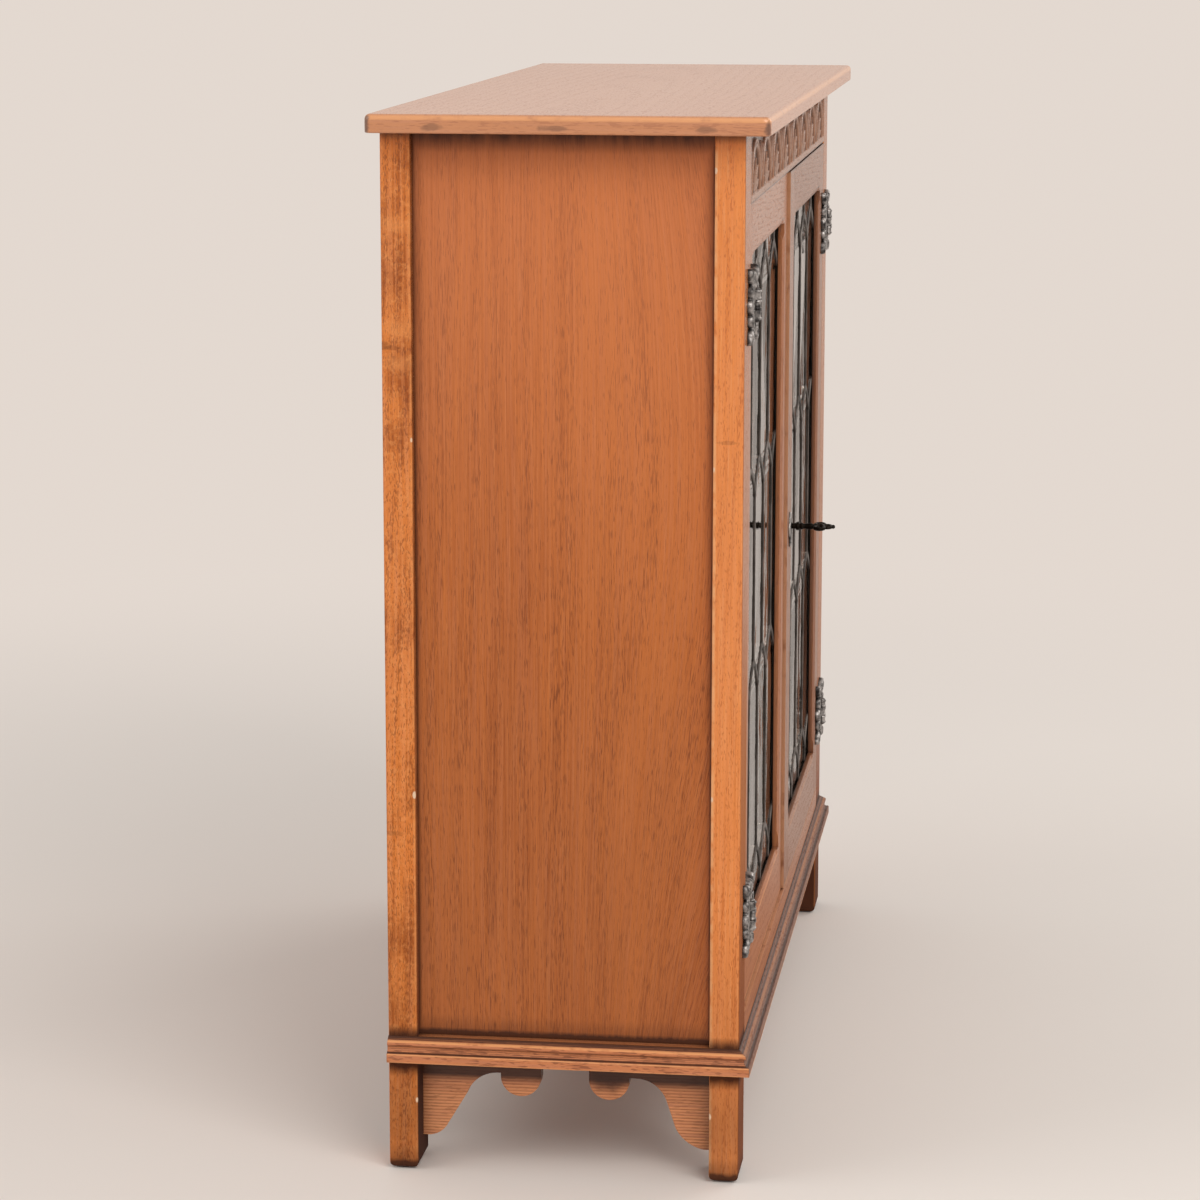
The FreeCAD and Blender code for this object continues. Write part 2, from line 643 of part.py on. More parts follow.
def lock_case():
    """A hollow box on the back of the right meeting stile, open at the edge where its bolt comes out."""
    x0 = meet_line + meet_gap / 2 + 1.5
    y0 = right_set + door_thick
    w = case_wall
    case = box(x0, x0 + case_w, y0, y0 + case_deep, key_z - case_h / 2, key_z + case_h / 2)
    hollow = box(x0 + w, x0 + case_w - w, y0 + w, y0 + case_deep - w,
                 key_z - case_h / 2 + w, key_z + case_h / 2 - w)
    low = key_z + bolt_up
    port = box(x0 - 1, x0 + w + 1, bolt_y0() - bolt_play, bolt_y0() + bolt_thick + bolt_play,
               low - bolt_play, low + bolt_high + bolt_play)
    return case.cut([hollow, port, rod(shaft_r + 0.06, w + 2, V(key_x, y0 - 1, key_z), V(0, 1, 0))])


def bolt_y0():
    return right_set + door_thick + bolt_in


def lock_bolt():
    """The bar that the key throws towards the left door, here drawn back."""
    x0 = meet_line + meet_gap / 2 + 1.0
    z0 = key_z + bolt_up
    return box(x0, x0 + bolt_long, bolt_y0(), bolt_y0() + bolt_thick, z0, z0 + bolt_high)


def lock_keeper():
    """A box on the back of the left meeting stile that takes the thrown bolt."""
    x1 = meet_line - meet_gap / 2 - 0.5
    y0 = left_set + door_thick
    y1 = bolt_y0() + bolt_thick
    zm = key_z + bolt_up + bolt_high / 2
    body = box(x1 - keeper_w, x1, y0, y1 + keeper_wall, zm - keeper_h / 2, zm + keeper_h / 2)
    g = bolt_play
    return body.cut(box(x1 - keeper_w + keeper_wall, x1 + 1, bolt_y0() - g, y1 + g,
                        zm - bolt_high / 2 - g, zm + bolt_high / 2 + g))


def rod_x():
    return meet_line - meet_gap / 2 - rod_off


def rod_y():
    return left_set + door_thick + rod_in


def rod_low():
    return door_top - rod_drop - rod_len


def bolt_plate():
    """Back plate of the left door's bolt, with two guides that the rod slides through."""
    x, y, low = rod_x(), left_set + door_thick, rod_low()
    w = back_plate_w / 2
    plate = box(x - w, x + w, y, y + back_plate_thick, low - guide_h, door_top - 2 * rod_drop)
    w = guide_w / 2
    guides = [box(x - w, x + w, y, y + guide_deep, low + a, low + a + guide_h) for a in guide_at]
    g = bolt_play
    slot = box(x - rod_w / 2 - g, x + rod_w / 2 + g, rod_y() - g, rod_y() + rod_w + g, 0, height)
    return plate.fuse(guides).removeSplitter().cut(slot)


def door_bolt():
    """The sliding rod of the left door's bolt, drawn down, with a knob."""
    x = rod_x()
    bar = box(x - rod_w / 2, x + rod_w / 2, rod_y(), rod_y() + rod_w, rod_low(), rod_low() + rod_len)
    knob = rod(knob_r, knob_len, V(x, rod_y() + rod_w, rod_low() + knob_up), V(0, 1, 0))
    return bar.fuse(knob).removeSplitter()


def bolt_keeper():
    """A block behind the frieze rail that takes the left door's bolt."""
    x, y, w = rod_x(), rod_y(), block_w / 2
    z0 = frieze_under + 1
    block = box(x - w, x + w, rail_thick, y + rod_w + block_wall, z0, z0 + block_h)
    w, g = rod_w / 2 + block_play, block_play
    return block.cut(box(x - w, x + w, y - g, y + rod_w + g, 0, height))


def save_carcass():
    save("top_board", top_board())
    for name, shape in (("post_front", front_post_left()), ("post_back", back_post_left()),
                        ("side_panel", side_panel_left()), ("side_rail", side_rail_left()),
                        ("base_mould", base_mould_left()), ("apron", apron_left())):
        save(name + "_left", shape)
        save(name + "_right", mirrored(shape))
    save("back_panel", back_panel())
    save("back_rail_top", back_rail(back_rail_under, top_under).cut(back_panel()))
    save("back_rail_bottom", back_rail(base_under, bottom_top).cut(back_panel()))
    save("bottom_board", bottom_board())
    save("frieze_rail", frieze_rail())
    save("bottom_rail_front", front_rail(base_under, bottom_top))
    save("base_mould_front", base_mould_front())
    save("apron_front", apron_front())
    save("top_battens", [top_batten_left(), mirrored(top_batten_left())])
    save("batten_screws", batten_screws())
    save("glue_blocks", glue_blocks())
    for name, level in zip(("shelf_lower", "shelf_upper"), shelf_levels):
        save(name, shelf(level))
    save("shelf_pins", shelf_pins())
    save("door_stops", [door_stop(-300, left_set + door_thick), door_stop(240, right_set + door_thick)])
    save("bolt_keeper", bolt_keeper())


def save_hinges():
    levels = hinge_levels()
    sides = (-1, 1)
    save("hinge_post_leaves", [post_leaf(s, z) for s in sides for z in levels])
    save("hinge_pins", [hinge_pin(s, z) for s in sides for z in levels])
    places = [p for s in sides for z in levels for p in leaf_screws(s, hinge_axis(s), z)]
    save("hinge_post_screws", [screw(x, z, 0.0) for x, z in places])
    for name, s, seat in (("left", -1, left_set), ("right", 1, right_set)):
        save(name + "_hinge_leaves", [door_leaf(s, z, seat) for z in levels])
        places = [p for z in levels for p in leaf_screws(-s, hinge_axis(s), z)]
        save(name + "_hinge_screws", [screw(x, z, seat) for x, z in places])


def save_door(name, x0, x1, left_w, right_w, y0, side, extra):
    """One door: frame, leaded light and beads; extra lists cutters for its lock fittings."""
    low, high = tenon_bands()
    a, b = x0 + left_w, x1 - right_w
    places = [p for level in hinge_levels() for p in leaf_screws(-side, hinge_axis(side), level)]
    cuts = [screw_bore(x, z, y0) for x, z in places] + extra
    stiles = (frame_stile(x0, a, y0), frame_stile(x1, b, y0))
    hinge_stile, meeting_stile = stiles if side < 0 else stiles[::-1]
    save(name + "_hinge_stile", hinge_stile.cut(cuts))
    save(name + "_meeting_stile", meeting_stile.cut(cuts))
    save(name + "_top_rail", frame_rail(a, b, door_top, sight_top, y0, high))
    save(name + "_bottom_rail", frame_rail(a, b, door_under, sight_under, y0, low))
    net, panes = leaded_light(a, b, y0)
    save(name + "_cames", net)
    save(name + "_glass", panes)
    save(name + "_glazing_beads", glazing_beads(a, b, y0))


def save_doors():
    edge = opening - hinge_gap
    save_door("left", -edge, meet_line - meet_gap / 2, stile_w, left_meet_w, left_set, -1, [])
    keyhole = rod(shaft_hole_r, door_thick + 2, V(key_x, right_set - 1, key_z), V(0, 1, 0))
    save_door("right", meet_line + meet_gap / 2, edge, right_meet_w, stile_w, right_set, 1, [keyhole])
    save("lock_keeper", lock_keeper())
    save("bolt_plate", bolt_plate())
    save("door_bolt", door_bolt())
    save("escutcheon", escutcheon())
    save("lock_case", lock_case())
    save("lock_bolt", lock_bolt())
    save("key", key())


os.makedirs("parts", exist_ok=True)
save_carcass()
save_hinges()
save_doors()
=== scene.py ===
import json
import math
import bpy
import bmesh
import numpy as np
from mathutils import Matrix, Vector

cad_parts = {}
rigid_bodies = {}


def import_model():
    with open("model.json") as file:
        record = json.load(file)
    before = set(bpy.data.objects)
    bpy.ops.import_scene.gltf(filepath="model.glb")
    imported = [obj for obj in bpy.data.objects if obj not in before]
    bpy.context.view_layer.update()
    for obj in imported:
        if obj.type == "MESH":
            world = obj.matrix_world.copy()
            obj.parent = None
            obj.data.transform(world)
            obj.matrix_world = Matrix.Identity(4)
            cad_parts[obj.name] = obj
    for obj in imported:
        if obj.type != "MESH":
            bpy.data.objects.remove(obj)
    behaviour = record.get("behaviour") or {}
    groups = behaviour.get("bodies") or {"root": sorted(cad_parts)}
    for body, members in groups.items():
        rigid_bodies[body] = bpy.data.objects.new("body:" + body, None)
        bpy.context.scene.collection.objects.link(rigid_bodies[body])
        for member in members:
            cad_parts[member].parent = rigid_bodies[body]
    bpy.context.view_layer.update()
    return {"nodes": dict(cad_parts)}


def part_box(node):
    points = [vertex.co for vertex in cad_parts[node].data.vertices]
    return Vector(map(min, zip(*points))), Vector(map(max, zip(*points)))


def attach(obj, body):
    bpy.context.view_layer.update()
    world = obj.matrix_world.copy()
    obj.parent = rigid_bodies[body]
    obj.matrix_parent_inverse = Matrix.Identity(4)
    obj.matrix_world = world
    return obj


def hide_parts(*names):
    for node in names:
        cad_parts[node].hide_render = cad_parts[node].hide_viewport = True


for leftover in list(bpy.data.objects):
    bpy.data.objects.remove(leftover)

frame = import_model()
nodes = frame["nodes"]
mm = 0.001

# Pieces are drawn in millimetres: x from the middle, y back from the posts' front face, z up from the floor
postLow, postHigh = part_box("post_front_left")
faceY = postLow.y / mm
opening = -postHigh.x / mm            # from the middle to a post's inner face
doorLow, doorHigh = (corner.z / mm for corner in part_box("left_hinge_stile"))

# Places that the finish refers to, in metres in the shared frame
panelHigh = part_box("side_panel_left")[1]
mouldLow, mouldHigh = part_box("base_mould_left")
panelFront, panelBack = postHigh.y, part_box("post_back_left")[0].y
underTop, mouldTop, mouldUnder = panelHigh.z, mouldHigh.z, mouldLow.z
outerX = postLow.x

print("stage: camera, floor and light")

view = dict(
    place=(-3.5447, -0.4241, 1.1040),
    look=(0.97397, 0.12982, -0.18580),
    roll=0.04,    # degrees
    lens=110.82,  # mm on a 36 mm sensor
)


def linkObject(name, data):
    made = bpy.data.objects.new(name, data)
    bpy.context.scene.collection.objects.link(made)
    return made


def makeCamera(v):
    look = Vector(v["look"]).normalized()
    right = look.cross(Vector((0, 0, 1))).normalized()
    up = right.cross(look)
    turn = math.radians(v["roll"])
    right, up = right * math.cos(turn) + up * math.sin(turn), up * math.cos(turn) - right * math.sin(turn)
    data = bpy.data.cameras.new("camera")
    data.sensor_width = 36
    data.lens = v["lens"]
    data.clip_end = 200
    cam = linkObject("camera", data)
    cam.matrix_world = Matrix.Translation(v["place"]) @ Matrix((right, up, -look)).transposed().to_4x4()
    bpy.context.scene.camera = cam


bench = {}        # holds the node tree that is being built


class Wire:
    # a node's output, to calculate with
    def __init__(self, socket):
        self.socket = socket

    def __add__(self, other):
        return calc("ADD", self, other)

    def __sub__(self, other):
        return calc("SUBTRACT", self, other)

    def __rsub__(self, other):
        return calc("SUBTRACT", other, self)

    def __mul__(self, other):
        return calc("MULTIPLY", self, other)

    def __abs__(self):
        return calc("ABSOLUTE", self)


def plug(value, socket):
    if isinstance(value, Wire):
        bench["tree"].links.new(value.socket, socket)
    elif socket.type == "RGBA":
        socket.default_value = (*value, 1.0)
    else:
        socket.default_value = value


def add(kind, plugs=None, **settings):
    node = bench["tree"].nodes.new("ShaderNode" + kind)
    for key, value in settings.items():
        setattr(node, key, value)
    for key, value in (plugs or {}).items():
        plug(value, node.inputs[key])
    return node


def wire(kind, plugs=None, out=0, **settings):
    return Wire(add(kind, plugs, **settings).outputs[out])


def split(vector):
    return [Wire(end) for end in add("SeparateXYZ", {0: vector}).outputs]


def calc(what, a, b=0.0, clamp=False):
    return wire("Math", {0: a, 1: b}, operation=what, use_clamp=clamp)


def most(first, *others):
    for other in others:
        first = calc("MAXIMUM", first, other)
    return first


def vec(what, a, b=(0.0, 0.0, 0.0)):
    plugs = {0: a} if what == "NORMALIZE" else {0: a, 1: b}
    out = "Value" if what in ("DOT_PRODUCT", "LENGTH") else "Vector"
    return wire("VectorMath", plugs, out, operation=what)


def mixed(share, a, b, how="MIX"):
    return wire("Mix", {0: share, 6: a, 7: b}, 2, data_type="RGBA", blend_type=how)


def noise(where, across, along, detail=2.0, rough=0.5, out=0):
    stretched = vec("MULTIPLY", where, (across, across, along))
    plugs = {"Vector": stretched, "Scale": 1.0, "Detail": detail, "Roughness": rough}
    return wire("TexNoise", plugs, out)


def between(value, low, high):
    plugs = {"Value": value, "From Min": low, "From Max": high}
    return wire("MapRange", plugs, interpolation_type="SMOOTHSTEP")


def ramp(value, stops):
    node = add("ValToRGB", {"Fac": value})
    line = node.color_ramp.elements
    while len(line) < len(stops):
        line.new(0.5)
    for mark, (at, colour) in zip(line, stops):
        mark.position = at
        mark.color = (*colour, 1)
    return Wire(node.outputs[0])


def startNodes(tree):
    tree.nodes.clear()
    bench["tree"] = tree


def newMaterial(name):
    made = bpy.data.materials.new(name)
    made.use_nodes = True
    startNodes(made.node_tree)
    return made


def toSurface(shader):
    add("OutputMaterial", {"Surface": shader})


studio = {
    "backdrop": (0.77, 0.690, 0.630),
    "floor": (0.79, 0.735, 0.690),
    "floorReach": 45.0, "floorLevel": -0.0006,       # metres
    "fadeFrom": 0.9, "fadeTo": 2.6,                  # where the floor runs into the backdrop colour
    "surround": 0.62,                                # strength of the even light all round
    "surroundTint": (1.0, 0.985, 0.965), "lampTint": (1.0, 0.975, 0.945),
    # place, aim, size, watts
    "lamps": {
        "keyBox": ((-2.7, -1.9, 2.9), (0.0, 0.0, 0.55), 2.4, 70.0),
        "fillBox": ((-1.5, 2.6, 2.2), (0.0, 0.0, 0.5), 2.2, 22.0),
        "farBox": ((2.4, -2.6, 2.4), (0.0, 0.0, 0.5), 2.2, 34.0),
    },
}


def seenDirectly():
    rays = ("Camera", "Glossy", "Transmission")
    return most(*(wire("LightPath", out="Is " + ray + " Ray") for ray in rays))


def makeWorld(s):
    world = bpy.data.worlds.new("studio")
    bpy.context.scene.world = world
    world.use_nodes = True
    startNodes(world.node_tree)
    lit = wire("Background", {"Color": s["surroundTint"], "Strength": s["surround"]})
    shown = wire("Background", {"Color": s["backdrop"], "Strength": 1.0})
    add("OutputWorld", {"Surface": wire("MixShader", {0: seenDirectly(), 1: lit, 2: shown})})


def makeFloor(s):
    sheet = bmesh.new()
    bmesh.ops.create_circle(sheet, cap_ends=True, segments=96, radius=s["floorReach"])
    mesh = bpy.data.meshes.new("floor")
    sheet.to_mesh(mesh)
    sheet.free()
    floor = linkObject("floor", mesh)
    floor.location.z = s["floorLevel"]
    mesh.materials.append(newMaterial("pale_floor"))
    where = wire("TexCoord", out="Object")
    cloudy = noise(where, 1.1, 1.1, 3.0)
    tint = ramp(cloudy, [(0.3, [c * 0.985 for c in s["floor"]]), (0.7, s["floor"])])
    near = wire("BsdfPrincipled", {"Base Color": tint, "Roughness": 0.75, "Specular IOR Level": 0.2})
    far = wire("Emission", {"Color": s["backdrop"], "Strength": 1.0})
    away = between(vec("LENGTH", where), s["fadeFrom"], s["fadeTo"])
    toSurface(wire("MixShader", {0: away * seenDirectly(), 1: near, 2: far}))


def makeLamps(s):
    for name, (place, aim, size, watts) in s["lamps"].items():
        data = bpy.data.lights.new(name, "AREA")
        data.size = size
        data.energy = watts
        data.color = s["lampTint"]
        lamp = linkObject(name, data)
        lamp.location = place
        lamp.rotation_euler = (Vector(aim) - Vector(place)).to_track_quat("-Z", "Y").to_euler()


makeCamera(view)
makeWorld(studio)
makeFloor(studio)
makeLamps(studio)
bpy.context.scene.view_settings.view_transform = "Standard"

print("stage: oak")

# The stained and lacquered oak. Lengths in metres, colours linear.
oakLook = dict(
    grain="z",                    # the way the board runs
    light=(0.56, 0.170, 0.045),
    dark=(0.36, 0.092, 0.022),
    blush=(0.54, 0.185, 0.080),   # pinker fibres
    pore=(0.17, 0.040, 0.012),
    stain=(0.050, 0.016, 0.008),  # stain, and painted shade in corners, hollows, gaps and under things
    worn=(0.66, 0.260, 0.090),    # where the finish is rubbed on the arrises; also painted highlights on arrises and edges, and sheen round knots
    chip=(0.82, 0.64, 0.46),      # raw wood where the finish is knocked off
    rings=170.0,                  # growth rings per metre
    heart=(0.03, 0.06),           # centre of the rings across the board
    lean=0.05,                    # how fast the rings run out along the board
    ringShare=0.30,
    poreShare=0.60,
    poreSize=(820.0, 105.0),      # across and along the grain, per metre
    poreFrom=0.575,               # higher is fewer
    fleck=0.0,                    # pale ray figure of boards cut on the quarter
    # share of the painted shade in corners and crevices
    stainShare=0.85,
    wearShare=0.5,
    rough=0.45,
    dull=0.0, dullLow=0.0,        # how much rougher it gets downwards, and near the floor
    dullSpan=(0.30, 0.06),        # between which heights the latter grows
    coat=0.25, gloss=0.28,        # lacquer over it, and the wood's own shine
    front=1.0,                    # painted shade: how light the faces to the front are beside the rest
    frontLow=(0.68, 0.55, 0.45),  # and how much darker they get near the floor, also painted shade
    ragged=0.7,                   # how uneven the darker borders are
    plainBack=False,              # no darker borders on the faces to the back
    fibres=(430.0, 11.0),         # across and along the grain, per metre
    fibreShare=0.8, hair=0.0,     # contrast of the fibres, and of the pale hair lines among them
    clouds=0.6,
    bloom=None,                   # painted sheen: a paler tone that veils the upper part, and its share
    mottle=0.0,                   # lighter and darker bands along the board
    bow=None,                     # strength, height, and from where to where across
    seed=0.0,
    capGrain="",                  # another way for the grain on the board's ends
)
seedShift = (0.371, 0.613, 0.837)        # how far one step of the seed moves the figure


def alongGrain(parts, way):
    x, y, z = parts
    order = {"x": (y, z, x), "y": (z, x, y), "z": (x, y, z)}[way]
    return wire("CombineXYZ", dict(enumerate(order)))


def bowed(parts, bow):
    strength, apex, start, end = bow
    up = parts[2] - apex
    return parts[0], parts[1] - up * up * (between(parts[1], start, end) * strength), parts[2]


def growthRings(board, look):
    # rings are cones round a heart that lies beside the board
    a, b, c = (shift * look["seed"] for shift in seedShift)
    side, deep, along = split(board)
    side = side - (look["heart"][0] + a)
    deep = (along - c) * look["lean"] + (deep - (look["heart"][1] + b))
    away = calc("SQRT", side * side + deep * deep)
    count = away * look["rings"] + noise(board, 28.0, 2.0) * 1.6
    marks = ((0.0, 0.6), (0.1, 1.0), (0.42, 0.2), (0.82, 0.0), (1.0, 0.6))
    return ramp(calc("FRACT", count), [(at, (tone,) * 3) for at, tone in marks])


def nearLines(parts, lines, core=0.0):
    # each entry: axis, place, reach and share; full within the core's share of the reach
    return most(*((1.0 - between(abs(parts[axis] - place), reach * core, reach)) * share
                  for axis, place, reach, share in lines))


def inwardFaces(facing, height, sides):
    # the faces of a foot that look in under the cabinet, darkened as painted shade
    inner = between(most(*(facing[axis] * -sign for axis, sign in enumerate(sides))), 0.80, 0.95)
    return inner * between(height, mouldUnder + 0.004, mouldUnder - 0.010)


def oak(name, edges=(), chips=(), knots=(), glows=(), rubs=(), lines=(), sunk=None, inward=None, **changes):
    look = dict(oakLook, **changes)
    made = newMaterial(name)
    where = wire("TexCoord", out="Object")
    parts = split(where)
    normal = wire("NewGeometry", out="True Normal")
    facing = split(normal)
    board = alongGrain(bowed(parts, look["bow"]) if look["bow"] else parts, look["grain"])
    if look["capGrain"]:
        cap = abs(facing["xyz".index(look["grain"])])
        board = mixed(between(cap, 0.70, 0.72), board, alongGrain(parts, look["capGrain"]))
    board = vec("ADD", board, [shift * look["seed"] for shift in seedShift])
    drift = vec("SUBTRACT", noise(board, 5.0, 1.3, out=1), (0.5, 0.5, 0.5))
    board = vec("ADD", board, vec("MULTIPLY", drift, (0.016, 0.016, 0.0)))

    ring = growthRings(board, look)
    wide, tall = look["poreSize"]
    start = look["poreFrom"]
    pore = between(ring * 0.09 + noise(board, wide, tall, 1.5), start, start + 0.09)
    fine = between(noise(board, wide * 1.9, tall * 1.6, 1.0), 0.60, 0.70)
    pore = calc("ADD", pore, fine * 0.35, clamp=True)
    wide, tall = look["fibres"]
    fibre = noise(board, wide, tall, 3.0, 0.6)
    hue = noise(board, wide * 0.77, tall * 0.73, 2.0, 0.55)
    cloud = noise(board, 8.0, 1.6)

    contrast = look["fibreShare"]
    deepTone = ring * look["ringShare"] + (fibre * contrast + (0.1 - contrast / 2))
    if look["mottle"]:
        deepTone = deepTone + (noise(board, 26.0, 19.0) * (2 * look["mottle"]) - look["mottle"])
    deepTone = calc("ADD", deepTone, cloud * look["clouds"] - look["clouds"] / 2, clamp=True)
    colour = mixed(deepTone, look["light"], look["dark"])
    colour = mixed(between(hue, 0.42, 0.66) * 0.5, colour, look["blush"])
    if look["hair"]:
        hair = between(noise(board, wide * 2.2, tall * 1.6, 1.0), 0.54, 0.72)
        colour = mixed(hair * look["hair"], colour, look["worn"])
    if look["fleck"]:
        ray = between(noise(board, 150.0, 190.0, 3.0, 0.65), 0.45, 0.70)
        colour = mixed(ray * look["fleck"], colour, look["worn"])
    colour = mixed(pore * look["poreShare"], colour, look["pore"])
    # painted sheen on the upper part
    if look["bloom"]:
        tint, share = look["bloom"]
        colour = mixed(between(parts[2], 0.42, 0.92) * share, colour, tint)

    soft = wire("Bevel", {"Radius": 0.0011}, samples=4)
    patchy = noise(where, 70.0, 70.0, 3.0)
    rub = between(1.0 - vec("DOT_PRODUCT", soft, normal), 0.02, 0.22) * between(patchy, 0.42, 0.62)
    closed = wire("AmbientOcclusion", {"Distance": 0.02}, "AO", samples=6)
    corner = between(1.0 - closed, 0.22, 0.85)
    rub = rub * (1.0 - corner) * look["wearShare"]
    for x, y, reach, share in rubs:
        # a painted highlight along an upright arris
        line = vec("MULTIPLY", vec("SUBTRACT", where, (x, y, 0.0)), (1.0, 1.0, 0.0))
        bare = 1.0 - between(vec("LENGTH", line), reach * 0.3, reach)
        rub = most(rub, bare * between(patchy, 0.30, 0.60) * share)
    if lines:
        # painted highlights: pale lines along arrises, beads and edges
        rub = most(rub, nearLines(parts, lines, 0.35) * between(patchy, 0.2, 0.5))
    colour = mixed(rub, colour, look["worn"])
    # painted shade: faces to the front darker than the rest, darker and warmer near the floor
    if look["front"] < 1.0:
        forward = split(wire("NewGeometry", out="Normal"))[1]
        duller = mixed(1.0, colour, (look["front"],) * 3, "MULTIPLY")
        warmer = mixed(1.0, duller, look["frontLow"], "MULTIPLY")
        duller = mixed(between(parts[2], 0.36, 0.12), duller, warmer)
        colour = mixed(1.0 - between(forward, -0.95, -0.55), colour, duller)
    # painted shade in corners and crevices, from ambient occlusion
    shade = corner * look["stainShare"]
    if edges:
        # darker borders: partly sprayed stain, partly painted shade where parts meet, under the top and the
        # mouldings, and at gaps
        ragged = noise(board, 110.0, 9.0, 3.0) * look["ragged"] + (1.0 - look["ragged"] / 2)
        border = nearLines(parts, edges) * ragged
        if look["plainBack"]:
            border = border * between(facing[1], 0.90, 0.60)
        shade = most(shade, calc("MINIMUM", border, 0.95))
    if sunk:
        # darker in the carving and the reveals: none on the face, none on the back
        start, end, share = sunk
        low = between(parts[1], start, end) * between(parts[1], end + 0.010, end + 0.006)
        shade = most(shade, low * share)
    # painted shade and some stain on the feet's inner faces
    if inward:
        inner = inwardFaces(facing, parts[2], inward)
        shade = most(shade, inner * 0.97)
    colour = mixed(shade, colour, look["stain"])
    # pale sheens are painted highlights; dark marks are knots and smudges, and a painted shadow where a
    # chamfer stops
    for marks, tint, start in ((glows, "worn", 0.1), (knots, "stain", 0.5), (chips, "chip", 0.5)):
        # each mark: place, radius, share, and how much it is squeezed each way
        for place, size, share, squeeze in marks:
            spot = vec("MULTIPLY", vec("SUBTRACT", where, place), squeeze)
            ragged = (patchy - 0.5) * (min(size, 0.005) * 2.2) + vec("LENGTH", spot)
            mark = 1.0 - between(ragged, size * start, size * 1.1)
            colour = mixed(mark * share, colour, look[tint])

    rough = pore * 0.16 + (cloud * 0.10 + (look["rough"] - 0.05))
    if inward:
        rough = most(rough, inner)
    if look["dullLow"]:
        # the lowest part of the front, higher up at the near end
        level = parts[0] * 0.35 + parts[2]
        rough = rough + between(level, *look["dullSpan"]) * look["dullLow"]
        rough = calc("ADD", between(parts[2], 0.90, 0.40) * look["dull"], rough, clamp=True)
    height = pore * -0.7 + fibre * 0.35
    bump = wire("Bump", {"Strength": 0.25, "Distance": 0.0005, "Height": height, "Normal": soft})
    toSurface(wire("BsdfPrincipled", {
        "Base Color": colour, "Roughness": rough, "Normal": bump, "Specular IOR Level": look["gloss"],
        "Coat Weight": look["coat"], "Coat Roughness": 0.24, "Coat Normal": soft}))
    return made


def dress(node, material):
    nodes[node].material_slots[0].material = material


def dressOak(node, **settings):
    dress(node, oak("oak_" + node, **settings))


panelTone = dict(
    light=(0.59, 0.168, 0.036), dark=(0.32, 0.068, 0.010), pore=(0.13, 0.028, 0.008),
    blush=(0.57, 0.178, 0.062), worn=(0.68, 0.240, 0.082), rings=95.0, lean=0.02,
    ringShare=0.12, fibres=(640.0, 7.0), fibreShare=1.7, hair=0.36, clouds=1.3,
    coat=0.12, gloss=0.2, poreSize=(1500.0, 80.0), poreShare=0.55, poreFrom=0.61,
    bloom=((0.60, 0.205, 0.088), 0.42), bow=(0.34, 0.64, 0.02, -0.11),
)
postTone = dict(
    light=(0.76, 0.256, 0.072), dark=(0.59, 0.174, 0.044), pore=(0.40, 0.096, 0.024),
    blush=(0.74, 0.265, 0.095), worn=(0.86, 0.46, 0.22), rings=260.0, ringShare=0.25,
    front=0.54, plainBack=True, coat=0.0, gloss=0.25, rough=0.22,
    dull=0.12, dullLow=0.85, dullSpan=(0.38, 0.11), fibreShare=1.9, hair=0.22,
    poreSize=(1050.0, 190.0), poreShare=0.5, poreFrom=0.60,
)
quarterTone = dict(postTone, light=(0.66, 0.198, 0.042), dark=(0.34, 0.082, 0.015), pore=(0.17, 0.038, 0.010),
                   worn=(0.82, 0.320, 0.100), poreSize=(900.0, 240.0), poreFrom=0.57, fleck=0.40, mottle=1.7)
frameTone = dict(
    light=(0.385, 0.131, 0.042), dark=(0.26, 0.077, 0.022), pore=(0.15, 0.042, 0.015),
    blush=(0.38, 0.142, 0.064), worn=(0.70, 0.29, 0.11), rings=210.0,
    coat=0.0, gloss=0.6, rough=0.24, dull=0.12, dullLow=0.70, dullSpan=(0.22, -0.02),
    fibreShare=1.2, poreShare=0.35, poreFrom=0.60,
)
topTone = dict(
    light=(0.55, 0.222, 0.091), dark=(0.42, 0.154, 0.058), pore=(0.28, 0.084, 0.034),
    blush=(0.55, 0.230, 0.115), worn=(0.74, 0.33, 0.13), grain="x", rings=110.0,
    ringShare=0.12, poreShare=0.35, coat=0.9, gloss=0.5,
)
trimTone = dict(
    light=(0.60, 0.214, 0.082), dark=(0.41, 0.126, 0.045), pore=(0.15, 0.040, 0.016),
    blush=(0.54, 0.205, 0.105), worn=(0.80, 0.36, 0.145), rings=240.0, ringShare=0.45, coat=0.2,
)
apronTone = dict(trimTone, light=(0.80, 0.350, 0.155), dark=(0.48, 0.170, 0.066), pore=(0.16, 0.046, 0.019),
                 worn=(0.82, 0.42, 0.20), wearShare=0.9, rings=400.0, ringShare=1.0, heart=(-1.0, 0.0),
                 lean=0.012, poreShare=0.3)
insideTone = dict(
    light=(0.42, 0.155, 0.055), dark=(0.30, 0.100, 0.034), pore=(0.17, 0.050, 0.018),
    blush=(0.40, 0.158, 0.068), rough=0.5, wearShare=0.2, rings=150.0,
)


# a darker copy of a tone, for painted shade
def dimmed(tone, share):
    darker = {key: tuple(c * share for c in tone[key]) for key in ("light", "dark", "blush", "worn")}
    return dict(tone, **darker)


